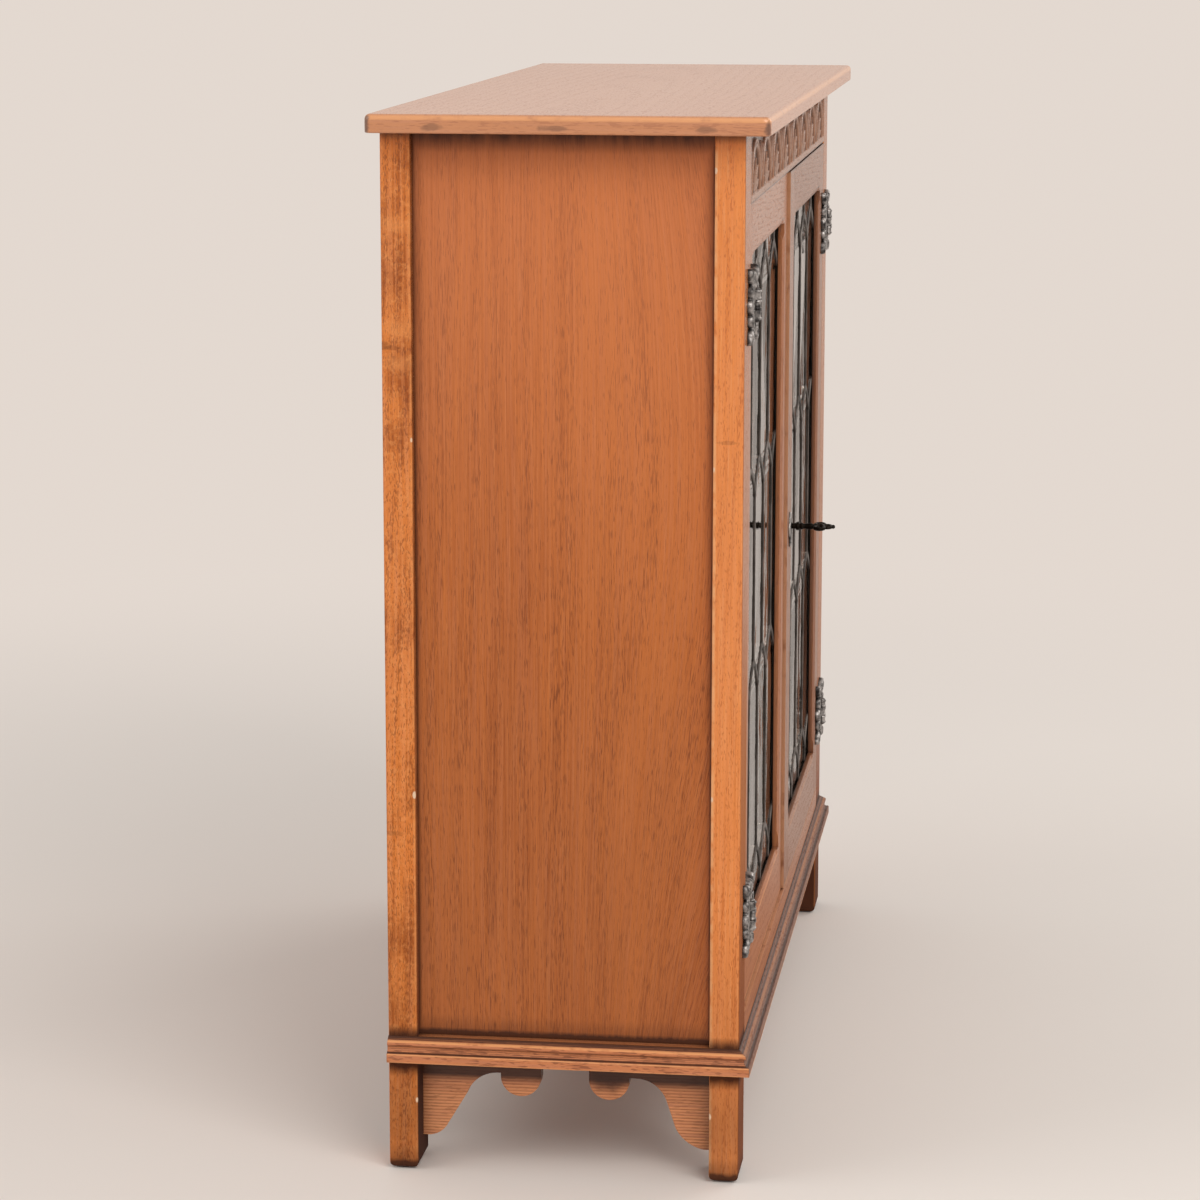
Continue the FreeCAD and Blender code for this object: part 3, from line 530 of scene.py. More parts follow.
def dressSides():
    # the panel's darker borders: stain, and painted shade along the posts, under the top's overhang and above
    # the moulding; the widest band darkens the whole panel downwards as painted shade
    panelEdges = [(1, panelFront, 0.005, 0.95), (1, panelFront, 0.013, 0.42), (1, panelBack, 0.005, 0.80),
                  (1, panelBack, 0.012, 0.34), (2, underTop, 0.024, 0.95), (2, underTop, 0.05, 0.20),
                  (2, mouldTop, 0.012, 1.15), (2, mouldTop, 0.040, 0.55), (2, mouldTop, 0.85, 0.30)]
    for name, hearted, s in (("side_panel_left", 0.05, 1.0), ("side_panel_right", 0.03, 2.0)):
        dressOak(name, edges=panelEdges, heart=(hearted, -0.120), seed=s, **panelTone)
    # darker near the floor as stain; painted shade under the moulding and under the top, and darker above the
    # moulding
    footShade = [(2, 0.0, 0.018, 1.3), (2, 0.0, 0.045, 0.65), (2, mouldUnder, 0.022, 1.2),
                 (2, mouldUnder / 2, 0.080, 0.42), (2, mouldTop, 0.014, 0.95), (2, mouldTop, 0.15, 0.18),
                 (2, underTop, 0.010, 0.8)]
    chipX = outerX + 0.0005
    tall, flat = (1.0, 1.0, 0.5), (1.0, 0.22, 1.6)
    frontChips = [((chipX, panelFront - 0.0008, z), 0.0016, 0.9, tall) for z in (0.884, 0.632, 0.345, 0.060)]
    backChips = [((chipX, panelBack + 0.0008, z), 0.0015, 0.9, tall) for z in (0.652, 0.340, 0.064)]
    oval = (1.0, 0.6, 1.2)
    # painted sheen round the knot
    backGlows = [((outerX, panelBack + 0.012, z), 0.012, 0.34, oval) for z in (0.718, 0.747, 0.835)]
    frontKnots = [((outerX, panelFront - 0.013, 0.655), 0.0026, 0.22, flat)]
    backKnots = [((outerX, panelBack + 0.026, 0.733), 0.0042, 0.40, (1.0, 0.55, 0.9)),
                 ((outerX, panelBack + 0.016, 0.731), 0.0030, 0.28, (1.0, 0.35, 1.4)),
                 ((outerX, panelBack + 0.021, 0.306), 0.0040, 0.22, flat)]
    dressOak("post_front_left", chips=frontChips, knots=frontKnots, rubs=[(outerX, panelFront, 0.0036, 0.7)],
             edges=footShade, inward=(-1, -1), seed=3.1, **postTone)
    dressOak("post_back_left", chips=backChips, knots=backKnots, glows=backGlows,
             rubs=[(outerX, panelBack, 0.0030, 0.5)], edges=footShade, inward=(-1, 1), seed=4.3,
             **quarterTone)
    # the right-hand feet get more painted shade near the floor
    for name, s, way in (("post_front_right", 5.2, (1, -1)), ("post_back_right", 6.4, (1, 1))):
        dressOak(name, edges=footShade + [(2, 0.03, 0.09, 0.75)], inward=way, seed=s, **postTone)


def dressTopAndBase():
    topLow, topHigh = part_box("top_board")
    end, top = topLow.x, topHigh.z
    corners = [((end, y, top - 0.009), 0.0046, 0.75, (1.0, 1.0, 0.40)) for y in (topLow.y, topHigh.y)]
    smudges = [((end, y, top - 0.011), 0.0030, 0.45, (1.0, 0.25, 1.0)) for y in (-0.105, 0.020, 0.125)]
    # a painted highlight along the rounded top edge
    dressOak("top_board", heart=(0.02, 0.86), lean=0.03, seed=0.4, capGrain="y", knots=corners + smudges,
             lines=[(2, top - 0.003, 0.0028, 0.8)], **topTone)
    fascia = mouldUnder + 0.0074
    # dark lines along the moulding's top and in its grooves: stain and painted shade
    cuts = ((0.0123, 0.0009, 1.0), (0.0064, 0.0016, 0.4), (0.0042, 0.0005, 0.5), (0.0028, 0.0005, 0.5),
            (0.0012, 0.0010, 1.2))
    cuts = [(2, fascia + up, reach, depth) for up, reach, depth in cuts]
    # painted highlights on the bead and along the fascia's arrises
    bright = [(2, fascia + 0.0108, 0.0011, 1.0), (2, fascia, 0.0008, 0.8), (2, mouldUnder, 0.0012, 0.5)]
    # painted shadow of the moulding on the apron's top
    lip = [(2, mouldUnder - 0.015, 0.013, 1.3), (2, mouldUnder, 0.030, 0.9)]
    # the pendant nearer the front is darker
    pendant = [((side * (outerX + 0.025), faceY * mm + 0.1171, mouldUnder - 0.012), 0.021, 0.80, (1.0,) * 3)
               for side in (1, -1)]
    for side, s in (("left", 7.1), ("right", 8.3)):
        dressOak("base_mould_" + side, grain="y", edges=[(2, mouldTop, 0.0046, 1.2)] + cuts, lines=bright,
                 seed=s, **trimTone)
        dressOak("apron_" + side, grain="y", edges=lip, knots=pendant, seed=s + 0.5, **apronTone)
        dressOak("side_rail_" + side, grain="y", seed=s + 0.7, **insideTone)
    # the front moulding is a darker copy of the side's, as painted shade, with painted highlights along its
    # lower edge and bead
    frontTone = dict(dimmed(trimTone, 0.36), worn=(0.72, 0.31, 0.125), wearShare=0.2, coat=0.0, gloss=0.38)
    dressOak("base_mould_front", grain="x", edges=[(2, mouldTop, 0.0020, 1.1)] + cuts, seed=9.2,
             lines=[(2, mouldUnder, 0.0016, 0.9), (2, fascia + 0.0108, 0.0010, 0.25)], **frontTone)
    dressOak("apron_front", grain="x", edges=lip, seed=10.4, **apronTone)
    # a painted highlight along the rail's top arris
    sill = [(2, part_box("bottom_rail_front")[1].z, 0.0011, 0.55)]
    dressOak("bottom_rail_front", grain="x", lines=sill, seed=11.3,
             **dict(frameTone, stainShare=0.3, worn=(0.62, 0.29, 0.14)))


def dressInside():
    boards = (("back_panel", "z"), ("back_rail_top", "x"), ("back_rail_bottom", "x"), ("bottom_board", "x"),
              ("shelf_lower", "x"), ("shelf_upper", "x"), ("top_battens", "y"), ("glue_blocks", "y"),
              ("door_stops", "x"))
    for k, (name, way) in enumerate(boards):
        dressOak(name, grain=way, seed=12.1 + 1.13 * k, **insideTone)


def dressDoors():
    members = (("hinge_stile", "z"), ("meeting_stile", "z"), ("top_rail", "x"), ("bottom_rail", "x"),
               ("glazing_beads", "z"))
    # painted shadow in the gap over each door, and a painted highlight along its lower arris
    rim, bare = [(2, doorHigh * mm, 0.0022, 0.6)], [(2, doorLow * mm, 0.0022, 0.7)]
    for k, side in enumerate(("left", "right")):
        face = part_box(side + "_hinge_stile")[0].y
        reveal = (face + 0.0022, face + 0.0050, 0.62)      # darker on the edges behind the face
        # the right door's tone is a darker copy of the left's, as painted shade
        tone = frameTone if side == "left" else dimmed(frameTone, 0.70)
        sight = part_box(side + "_meeting_stile" if side == "left" else side + "_hinge_stile")[0].x
        for j, (member, way) in enumerate(members):
            name = side + "_" + member
            own, sunk, pale, stop = tone, reveal, bare, []
            if member == "top_rail":
                # painted shadow where the upper chamfer stops
                stop = [((sight - 0.020, face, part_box(name)[0].z + 0.0046), 0.0011, 0.75, (0.06, 0.4, 1.0))]
            if member == "bottom_rail":
                # a painted highlight along the chamfer's arris
                pale = bare + [(2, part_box(name)[1].z - 0.0046, 0.0016, 0.40)]
            if member == "meeting_stile":
                own, sunk = dict(tone, stainShare=0.15), (*reveal[:2], 0.30)
                if side == "right":
                    # the edge that stands in front of the left door is lit: painted light, a paler colour and
                    # a pale line along it
                    own, sunk = dict(own, worn=(0.53, 0.255, 0.130)), (face + 0.0032, face + 0.0055, 0.45)
                    pale = bare + [(0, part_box(name)[0].x, 0.0010, 0.85)]
            dressOak(name, grain=way, edges=rim, lines=pale, sunk=sunk, knots=stop,
                     seed=22.2 + 1.17 * (len(members) * k + j), **own)


dressSides()
dressTopAndBase()
dressInside()
dressDoors()

print("stage: metal, lead and glass")

# colour on the high spots and in the hollows, roughness of both, and grains per metre
metalLooks = {
    "cast_hinge": ((0.53, 0.505, 0.49), (0.040, 0.037, 0.037), (0.30, 0.56), 980.0),
    "lead": ((0.150, 0.130, 0.118), (0.058, 0.050, 0.045), (0.40, 0.62), 260.0),
    "key_bronze": ((0.024, 0.018, 0.014), (0.006, 0.005, 0.004), (0.34, 0.55), 380.0),
    "lock_steel": ((0.42, 0.40, 0.37), (0.20, 0.18, 0.16), (0.34, 0.52), 300.0),
}


def metal(name):
    high, low, (smoothest, roughest), grains = metalLooks[name]
    made = newMaterial(name)
    where = wire("TexCoord", out="Object")
    grainy = noise(where, grains, grains, 4.0, 0.6)
    cloud = noise(where, grains * 0.16, grains * 0.16, 3.0)
    edge = wire("Bevel", {"Radius": 0.0006}, samples=4)
    rub = 1.0 - vec("DOT_PRODUCT", edge, wire("NewGeometry", out="True Normal"))
    closed = wire("AmbientOcclusion", {"Distance": 0.003}, "AO", samples=6)
    bright = between(closed, 0.45, 0.95) * between(cloud, 0.30, 0.72)
    bright = calc("ADD", bright, between(rub, 0.05, 0.35), clamp=True)
    bright = calc("MULTIPLY", bright, grainy * 0.9 + 0.45, clamp=True)
    rough = bright * (smoothest - roughest) + roughest
    bump = wire("Bump", {"Strength": 0.35, "Distance": 0.0004, "Height": grainy, "Normal": edge})
    plugs = {"Base Color": mixed(bright, low, high), "Roughness": rough, "Metallic": 1.0, "Normal": bump}
    toSurface(wire("BsdfPrincipled", plugs))
    return made


glassLook = dict(
    tint=(0.92, 0.915, 0.885),
    shine=(1.0, 0.98, 0.97),
    tilt=0.020,  # how far each pane leans in its leads
    dull=0.54,   # share of its shine that the dullest pane keeps
    wave=0.35,
    rough=0.015,
)


def leadedGlass(look):
    made = newMaterial("leaded_glass")
    where = wire("TexCoord", out="Object")
    pane = wire("NewGeometry", out="Random Per Island")
    chance = wire("TexWhiteNoise", {"W": pane}, "Color", noise_dimensions="1D")
    lean = vec("MULTIPLY", vec("SUBTRACT", chance, (0.5, 0.5, 0.5)), (look["tilt"],) * 3)
    leaning = vec("NORMALIZE", vec("ADD", wire("NewGeometry", out="Normal"), lean))
    height = noise(where, 120.0, 60.0, 1.0) * 0.05 + noise(where, 16.0, 7.0)
    bump = wire("Bump", {"Strength": look["wave"], "Distance": 0.004, "Height": height, "Normal": leaning})
    tone = ramp(noise(where, 30.0, 12.0), [(0.3, [c * 0.94 for c in look["tint"]]), (0.7, look["tint"])])
    clear = wire("BsdfTransparent", {"Color": tone})
    shine = wire("BsdfGlossy", {"Color": look["shine"], "Roughness": look["rough"], "Normal": bump})
    bright = calc("POWER", split(chance)[2], 1.3) * (1.0 - look["dull"]) + look["dull"]
    share = wire("Fresnel", {"IOR": 1.5, "Normal": bump}) * bright
    toSurface(wire("MixShader", {0: share, 1: clear, 2: shine}))
    return made


hingeMetal, leadMetal, keyMetal, lockMetal = (metal(name) for name in metalLooks)
glass = leadedGlass(glassLook)
for side in ("left", "right"):
    dress(side + "_glass", glass)
for node in ("lock_case", "lock_bolt", "lock_keeper", "bolt_plate", "door_bolt", "bolt_keeper",
             "batten_screws", "shelf_pins"):
    dress(node, lockMetal)

print("stage: mesh helpers")


def makePiece(name, drawn, material, body, stands, sharp=50.0):
    points, faces = drawn
    mesh = bpy.data.meshes.new(name)
    mesh.from_pydata(((np.asarray(points, float) + (0.0, faceY, 0.0)) * mm).tolist(), [], faces)
    work = bmesh.new()
    work.from_mesh(mesh)
    bmesh.ops.recalc_face_normals(work, faces=work.faces)
    work.to_mesh(mesh)
    work.free()
    mesh.shade_smooth()
    mesh.set_sharp_from_angle(angle=math.radians(sharp))
    mesh.materials.append(material)
    piece = linkObject(name, mesh)
    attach(piece, body)
    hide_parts(*stands)


def joined(chunks):
    points, faces, start = [], [], 0
    for some, loops in chunks:
        points.append(np.asarray(some, float))
        faces += [[i + start for i in loop] for loop in loops]
        start += len(some)
    return np.vstack(points), faces


def moved(drawn, shift=(0.0, 0.0, 0.0), flip=1.0):
    # flip of -1 mirrors the piece left to right before it is moved
    points = np.asarray(drawn[0], float) * (flip, 1.0, 1.0) + shift
    return points, drawn[1]


def around(n):
    return [2 * math.pi * k / n for k in range(n)]


def net(rows, n, closed=False):
    # faces between rows of n points each, with caps on the first and last row unless the rows close
    faces = []
    for row in range(rows if closed else rows - 1):
        here, there = row * n, (row + 1) % rows * n
        faces += [[here + k, here + (k + 1) % n, there + (k + 1) % n, there + k] for k in range(n)]
    if not closed:
        faces += [list(range(n)), list(range((rows - 1) * n, rows * n))]
    return faces


def lathe(profile, sides=28):
    # profile of (radius, height) turned round the upright axis; it starts and ends on the axis
    points = [(r * math.cos(turn), r * math.sin(turn), z) for r, z in profile for turn in around(sides)]
    return points, net(len(profile), sides)


def tube(path, section):
    # path of (x, z) in an upright plane, section of (across, deep)
    path = np.asarray(path, float)
    run = np.vstack((path[1:], path[-1:])) - np.vstack((path[:1], path[:-1]))
    run /= np.linalg.norm(run, axis=1)[:, None]
    points = []
    for (x, z), (dx, dz) in zip(path, run):
        points += [(x - dz * a, b, z + dx * a) for a, b in section]
    return points, net(len(path), len(section))


def bar(corners, along):
    # a prism: corners of its end, and the vector to its other end
    points = [tuple(c) for c in corners] + [tuple(np.add(c, along)) for c in corners]
    return points, net(2, len(corners))


def softMax(a, b, k):
    h = np.clip(0.5 + 0.5 * (a - b) / k, 0.0, 1.0)
    return b + (a - b) * h + k * h * (1.0 - h)


def hump(x, reach):
    return np.exp(-(x / reach) ** 2)


def smooth(x, low, high):
    # rises from low to high, or falls where low is the greater
    t = np.clip((x - low) / (high - low), 0.0, 1.0)
    return t * t * (3.0 - 2.0 * t)


def rounded(x):
    # a quarter round: 1 at 0, falling to 0 at 1
    return np.sqrt(np.clip(1.0 - x ** 2, 0.0, 1.0))


def castPlate(span, step, shape, relief, back):
    # a plate of any outline: shape is positive inside it, relief is how far its face stands out
    us, ws = np.arange(span[0], span[1] + step, step), np.arange(span[2], span[3] + step, step)
    inside = shape(*np.meshgrid(us, ws, indexing="ij"))
    known, spots, rims, fronts = {}, [], [], []

    def spotAt(p, q):
        # a corner of the net, or where the outline crosses the side between two corners
        p, q = min(p, q), max(p, q)
        if (p, q) not in known:
            t = inside[p] / (inside[p] - inside[q]) if p != q else 0.0
            known[p, q] = len(spots)
            spots.append((us[p[0]] + t * (us[q[0]] - us[p[0]]), ws[p[1]] + t * (ws[q[1]] - ws[p[1]])))
        return known[p, q]

    for i in range(len(us) - 1):
        for j in range(len(ws) - 1):
            ring = ((i, j), (i + 1, j), (i + 1, j + 1), (i, j + 1))
            held = [inside[p] > 0 for p in ring]
            if not any(held):
                continue
            loop, cuts = [], []
            for k in range(4):
                p, q = ring[k], ring[(k + 1) % 4]
                if held[k]:
                    loop.append(spotAt(p, p))
                if held[k] != held[(k + 1) % 4]:
                    loop.append(spotAt(p, q))
                    cuts.append((loop[-1], held[k]))
            fronts.append(loop)
            for k, (spot, leaving) in enumerate(cuts):
                if leaving:
                    rims.append((spot, cuts[(k + 1) % len(cuts)][0]))
    flat = np.array(spots)
    n = len(flat)
    face = -relief(flat[:, 0], flat[:, 1])
    points = np.vstack((np.c_[flat[:, 0], face, flat[:, 1]], np.c_[flat[:, 0], np.full(n, back), flat[:, 1]]))
    faces = fronts + [[n + i for i in reversed(loop)] for loop in fronts]
    faces += [[a, n + a, n + b, b] for a, b in rims]
    return points, faces


print("stage: carved frieze")

friezeLook = dict(
    bays=8,
    margin=4.0, lowFillet=5.0, highFillet=4.0,  # plain wood round the carving
    deep=3.0, wall=1.3,                         # depth of the ground and the slope down to it
    archOut=42.0, band=8.0, stilt=5.5, bead=2.75, hollow=1.5,
    step=(0.8, 0.7),                            # mesh, across and up
    # lobes as degrees from upright, length and half-width
    palmette=((0.0, 30.0, 5.0), (36.0, 27.0, 4.6), (68.0, 25.0, 4.0)),
    spandrel=((0.0, 38.0, 3.6), (23.0, 38.0, 4.0), (46.0, 31.0, 3.6)),
    lobeRise=2.6, vein=0.9,
    boss=(2.0, 4.2),                            # height and radius of the palmette's foot
    punch=3.4, punchR=1.1, punchDeep=0.35,
    tenonHalf=4.0, shoulder=6.0,
    seed=7,
)


def carvedLobe(u, v, lobe, look):
    angle, length, half = lobe
    turn = math.radians(angle)
    along = (u * math.sin(turn) + v * math.cos(turn)) / length
    across = u * math.cos(turn) - v * math.sin(turn)
    t = np.clip(along, 1e-4, 1.0 - 1e-4)
    reach = half * np.sin(math.pi * t ** 0.85) ** 0.75
    rise = look["lobeRise"] * (0.55 + 0.45 * np.sqrt(t)) * rounded(across / reach)
    rise -= look["vein"] * hump(across, 0.55) * smooth(t, 0.05, 0.2) * smooth(t, 0.95, 0.8)
    return np.where((along > 0.0) & (along < 1.0), np.maximum(rise, 0.0), 0.0)


def archProfile(t, look):
    # two beads with a hollow between them, t from the inner to the outer side of the band
    beads = [rounded((t - at) / 0.23) for at in (0.23, 0.77)]
    hollow = np.where((t > 0.1) & (t < 0.9), look["hollow"], 0.0)
    return np.maximum(look["bead"] * np.maximum(*beads), hollow)


def punchedGround(x, z, look, rng):
    # a dimple in every cell of a jittered net
    pitch = look["punch"]
    col, row = np.floor(x / pitch).astype(int), np.floor(z / pitch).astype(int)
    wide, tall = col.max() - col.min() + 3, row.max() - row.min() + 3
    jitter = rng.uniform(0.25, 0.75, (wide, tall, 2))
    near = np.full(x.shape, 9.0)
    for i in (-1, 0, 1):
        for j in (-1, 0, 1):
            spot = jitter[col - col.min() + 1 + i, row - row.min() + 1 + j]
            dx = x - (col + i + spot[..., 0]) * pitch
            dz = z - (row + j + spot[..., 1]) * pitch
            near = np.minimum(near, np.hypot(dx, dz))
    return -look["punchDeep"] * smooth(near, look["punchR"], look["punchR"] * 0.4)


def friezeRise(x, z, low, high, look):
    rng = np.random.default_rng(look["seed"])
    reach = opening - look["margin"]
    pitch = 2 * reach / look["bays"]
    spring = low + look["stilt"]
    bossUp, bossR = look["boss"]
    rise = punchedGround(x, z, look, rng)
    for k in range(look["bays"]):
        middle = -reach + (k + 0.5) * pitch
        lean, stretch = math.radians(rng.uniform(-2.5, 2.5)), rng.uniform(0.95, 1.04, 3)
        here = np.abs(x - middle) <= pitch / 2
        u, v = x[here] - middle, z[here]
        radius = np.where(v > spring, np.hypot(u, v - spring), np.abs(u))
        raised = archProfile((radius - (look["archOut"] - look["band"])) / look["band"], look)
        p, q = u, v - low - 0.5
        p, q = p * math.cos(lean) - q * math.sin(lean), q * math.cos(lean) + p * math.sin(lean)
        for (angle, length, half), s in zip(look["palmette"], stretch):
            raised = np.maximum(raised, carvedLobe(np.abs(p), q, (angle, length * s, half), look))
        raised = np.maximum(raised, rounded(np.hypot(p, q - bossUp) / bossR) * look["lobeRise"])
        clear = smooth(radius - look["archOut"], 0.4, 1.8)
        for lobe in look["spandrel"]:
            leaf = carvedLobe(pitch / 2 - np.abs(u), v - low - 5.0, lobe, look)
            raised = np.maximum(raised, leaf * clear)
        rise[here] = np.maximum(rise[here], raised)
    inner = np.minimum(reach - np.abs(x), np.minimum(z - low, high - z))
    wall = look["deep"] * smooth(inner, look["wall"], 0.0)
    return np.where(inner <= 0.0, look["deep"], np.maximum(rise, wall))


def carveFrieze(look):
    lowCorner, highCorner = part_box("frieze_rail")
    under, top = lowCorner.z / mm, highCorner.z / mm
    back = highCorner.y / mm - faceY
    reach = opening - look["margin"]
    xs = np.r_[-opening, np.arange(-reach - 0.4, reach + 0.8, look["step"][0]), opening]
    low, high = under + look["lowFillet"], top - look["highFillet"]
    zs = np.r_[under, under + look["lowFillet"] / 2, np.arange(low - 0.3, high + 0.7, look["step"][1]), top]
    x, z = np.meshgrid(xs, zs, indexing="ij")
    y = look["deep"] - friezeRise(x, z, low, high, look)
    nx, nz = x.shape
    front = np.arange(nx * nz).reshape(nx, nz)
    faces = np.stack((front[:-1, :-1], front[1:, :-1], front[1:, 1:], front[:-1, 1:]), -1)
    faces = faces.reshape(-1, 4).tolist()
    points = np.stack((x, y, z), -1).reshape(-1, 3)
    rear = np.concatenate([np.c_[xs, np.full(nx, back), np.full(nx, level)] for level in (under, top)])
    foot, head = nx * nz + np.arange(nx), nx * nz + nx + np.arange(nx)
    for k in range(nx - 1):
        faces.append([front[k + 1, 0], front[k, 0], foot[k], foot[k + 1]])
        faces.append([front[k, -1], front[k + 1, -1], head[k + 1], head[k]])
        faces.append([foot[k + 1], foot[k], head[k], head[k + 1]])
    faces.append([*front[0, ::-1], foot[0], head[0]])
    faces.append([*front[-1], head[-1], foot[-1]])
    chunks = [(np.vstack((points, rear)), faces)]
    tenon, deep, shoulder = highCorner.x / mm - opening, look["tenonHalf"], look["shoulder"]
    low, high = under + shoulder, top - shoulder
    section = ((-deep, low), (deep, low), (deep, high), (-deep, high))
    for s in (-1, 1):
        chunks.append(bar([(s * opening, back / 2 + a, b) for a, b in section], (s * tenon, 0.0, 0.0)))
    tone = dict(frameTone, light=(0.35, 0.164, 0.091), dark=(0.26, 0.112, 0.060), blush=(0.34, 0.174, 0.108),
                ringShare=0.2, rough=0.28, dullLow=0.0)
    # painted shadow along the frieze's lower edge, over the doors
    wood = oak("oak_frieze", grain="x", seed=31.0, sunk=((faceY + 0.5) * mm, (faceY + 3.0) * mm, 0.80),
               edges=[(2, under * mm, 0.0016, 0.8)], **tone)
    makePiece("carved_frieze", joined(chunks), wood, "carcass", ["frieze_rail"], 60.0)


carveFrieze(friezeLook)

print("stage: lead and solder")

leadLook = dict(
    columns=4, tier=184.0, rise=14.0, bulge=4.0,  # the pattern of the cames
    half=3.0, web=0.7, glass=1.5, crown=2.8,      # section, from the middle of the came
    wobble=0.25, steps=13,
    solder=4.3, solderProud=0.3, solderDeep=0.9,
    seed=11,
)


def cameSection(look, middle):
    h, w, g, c = look["half"], look["web"], look["glass"], look["crown"]
    swell = [(-1.0, 0.0), (-0.9, 0.45), (-0.65, 0.8), (-0.3, 0.97)]
    swell += [(-a, b) for a, b in reversed(swell)]
    front = [(a * h, -g - b * (c - g)) for a, b in swell] + [(w, -g)]
    section = front + [(a, -b) for a, b in reversed(front)] + [(-w, g), (-w, -g)]
    return [(a, middle + b) for a, b in section]


def arcPoints(p, q, bulge, count):
    # a shallow arc between two points, bowed upwards
    p, q = np.asarray(p, float), np.asarray(q, float)
    across = np.array((p[1] - q[1], q[0] - p[0]))
    across = across / np.linalg.norm(across) * (1.0 if q[0] > p[0] else -1.0)
    t = np.linspace(0.0, 1.0, count)[:, None]
    return p + (q - p) * t + across * bulge * 4.0 * t * (1.0 - t)


def solderBlob(x, z, level, proud, look, rng):
    a, b = rng.uniform(0, 2 * math.pi, 2)
    sides, rows = 16, ((1.0, 0.0), (0.85, 0.55), (0.55, 0.88), (0.2, 1.0))
    points = []
    for share, up in rows:
        for turn in around(sides):
            r = look["solder"] * share * (1 + 0.13 * math.sin(2 * turn + a) + 0.08 * math.sin(3 * turn + b))
            points.append((x + r * math.cos(turn), level + proud * up, z + r * math.sin(turn)))
    return points, net(len(rows), sides)


def cameLines(low, high, look):
    # zigzags of bowed arms at four levels, with uprights standing on them in staggered tiers
    pitch = (high[0] - low[0]) / look["columns"]
    middle = (low[1] + high[1]) / 2
    levels = [middle + (k - 1.5) * look["tier"] for k in range(4)]
    lines, joints = [], []
    for k, level in enumerate(levels):
        spots = []
        for j in range(2 * look["columns"] + 1):
            up = 1 if (j + k) % 2 == 0 else -1
            spots.append((low[0] + j * pitch / 2, level + up * look["rise"]))
        lines += [arcPoints(p, q, look["bulge"], look["steps"]) for p, q in zip(spots, spots[1:])]
        joints += spots[1:-1]
    stops = [low[1]] + levels + [high[1]]
    for tier in range(5):
        foot = stops[tier] + (look["rise"] if tier > 0 else 0.0)
        head = stops[tier + 1] - (look["rise"] if tier < 4 else 0.0)
        for j in range(1 if tier % 2 == 0 else 2, 2 * look["columns"], 2):
            x = low[0] + j * pitch / 2
            lines.append(np.c_[np.full(look["steps"], x), np.linspace(foot, head, look["steps"])])
    return lines, joints


def leadLight(side, look):
    lowCorner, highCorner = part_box(side + "_cames")
    low, high = (lowCorner.x / mm, lowCorner.z / mm), (highCorner.x / mm, highCorner.z / mm)
    front, back = lowCorner.y / mm - faceY, highCorner.y / mm - faceY
    rng = np.random.default_rng(look["seed"] + len(side))
    section = cameSection(look, (front + back) / 2)
    lines, joints = cameLines(low, high, look)
    chunks = []
    for line in lines:
        sway = rng.uniform(-1, 1, line.shape) * look["wobble"]
        sway[0] = sway[-1] = 0.0
        chunks.append(tube(line + sway, section))
    e = look["half"] / 2
    border = [(a * 0.5, b) for a, b in section]
    chunks += [tube([(x, low[1]), (x, high[1])], border) for x in (low[0] + e, high[0] - e)]
    chunks += [tube([(low[0], z), (high[0], z)], border) for z in (low[1] + e, high[1] - e)]
    deep = look["solderDeep"]
    proud = deep + look["solderProud"]
    for x, z in joints:
        chunks.append(solderBlob(x, z, front + deep, -proud, look, rng))
        chunks.append(solderBlob(x, z, back - deep, proud, look, rng))
    makePiece(side + "_lead", joined(chunks), leadMetal, side + "_door", [side + "_cames"], 45.0)


for side in ("left", "right"):
    leadLight(side, leadLook)

print("stage: hinges")

# Distances from the pin, heights from the hinge's middle
hingeLook = dict(
    inset=(86.5, 83.5),               # from the door's foot and from its head
    axisOut=5.6, gap=0.5, knuckle=4.1,
    thick=4.0, root=5.0, plate=17.0, barrel=25.6, middle=8.6, play=0.3,
    lobes=((11.5, 22.0, 7.8), (20.8, 25.4, 5.6), (20.0, 11.8, 5.6), (24.0, 29.0, 3.6), (8.2, 15.6, 4.4)),
    tip=(22.5, 0.0, 6.8), arm=(10.5, 22.5, 4.4),
    piercings=((20.8, 25.4, 2.0), (16.8, 18.2, 1.7)),
    screws=((11.5, 22.0), (11.5, -22.0), (22.5, 0.0)),
    volutes=((11.5, 22.0, 6.9), (20.8, 25.4, 5.0), (20.0, 11.8, 5.0), (22.5, 0.0, 6.1)),
    coil=1.7, coilRise=0.45, dome=0.8,
    flutes=14.0, fluteRise=0.32,
    rim=0.8, easing=1.2,
    screwR=2.8, screwRise=1.4, slot=0.5,
    # the web that runs from a knuckle down on to its leaf
    strap=((0.0, -8.6), (2.0, -8.5), (3.6, -7.1), (4.7, -5.4), (6.2, -4.1), (6.2, -1.0), (5.8, -0.3),
           (0.0, -0.3)),
    button=((2.0, 0.0), (2.9, 0.05), (2.95, 0.5), (2.6, 1.1), (1.8, 1.65), (0.9, 1.9), (0.0, 2.0)),
    reach=30.5, tall=34.0, step=0.4,  # mesh
    seed=3,
)


def leafShape(u, w):
    h = hingeLook
    v = np.abs(w)
    d = np.minimum(np.minimum(u - h["root"], h["plate"] - u), h["barrel"] / 2 - v)
    d = softMax(d, np.minimum(np.minimum(u - h["arm"][0], h["arm"][1] - u), h["arm"][2] - v), 2.0)
    for a, b, r in (*h["lobes"], h["tip"]):
        d = softMax(d, r - np.hypot(u - a, v - b), 1.6)
    for a, b, r in h["piercings"]:
        d = np.minimum(d, np.hypot(u - a, v - b) - r)
    return np.minimum(d, u - h["root"])


def coiled(u, v, pitch):
    # a scroll round the origin: its distance and its wave
    reach = np.hypot(u, v)
    return reach, np.cos(2 * math.pi * (reach / pitch - np.arctan2(v, u) / (2 * math.pi)))


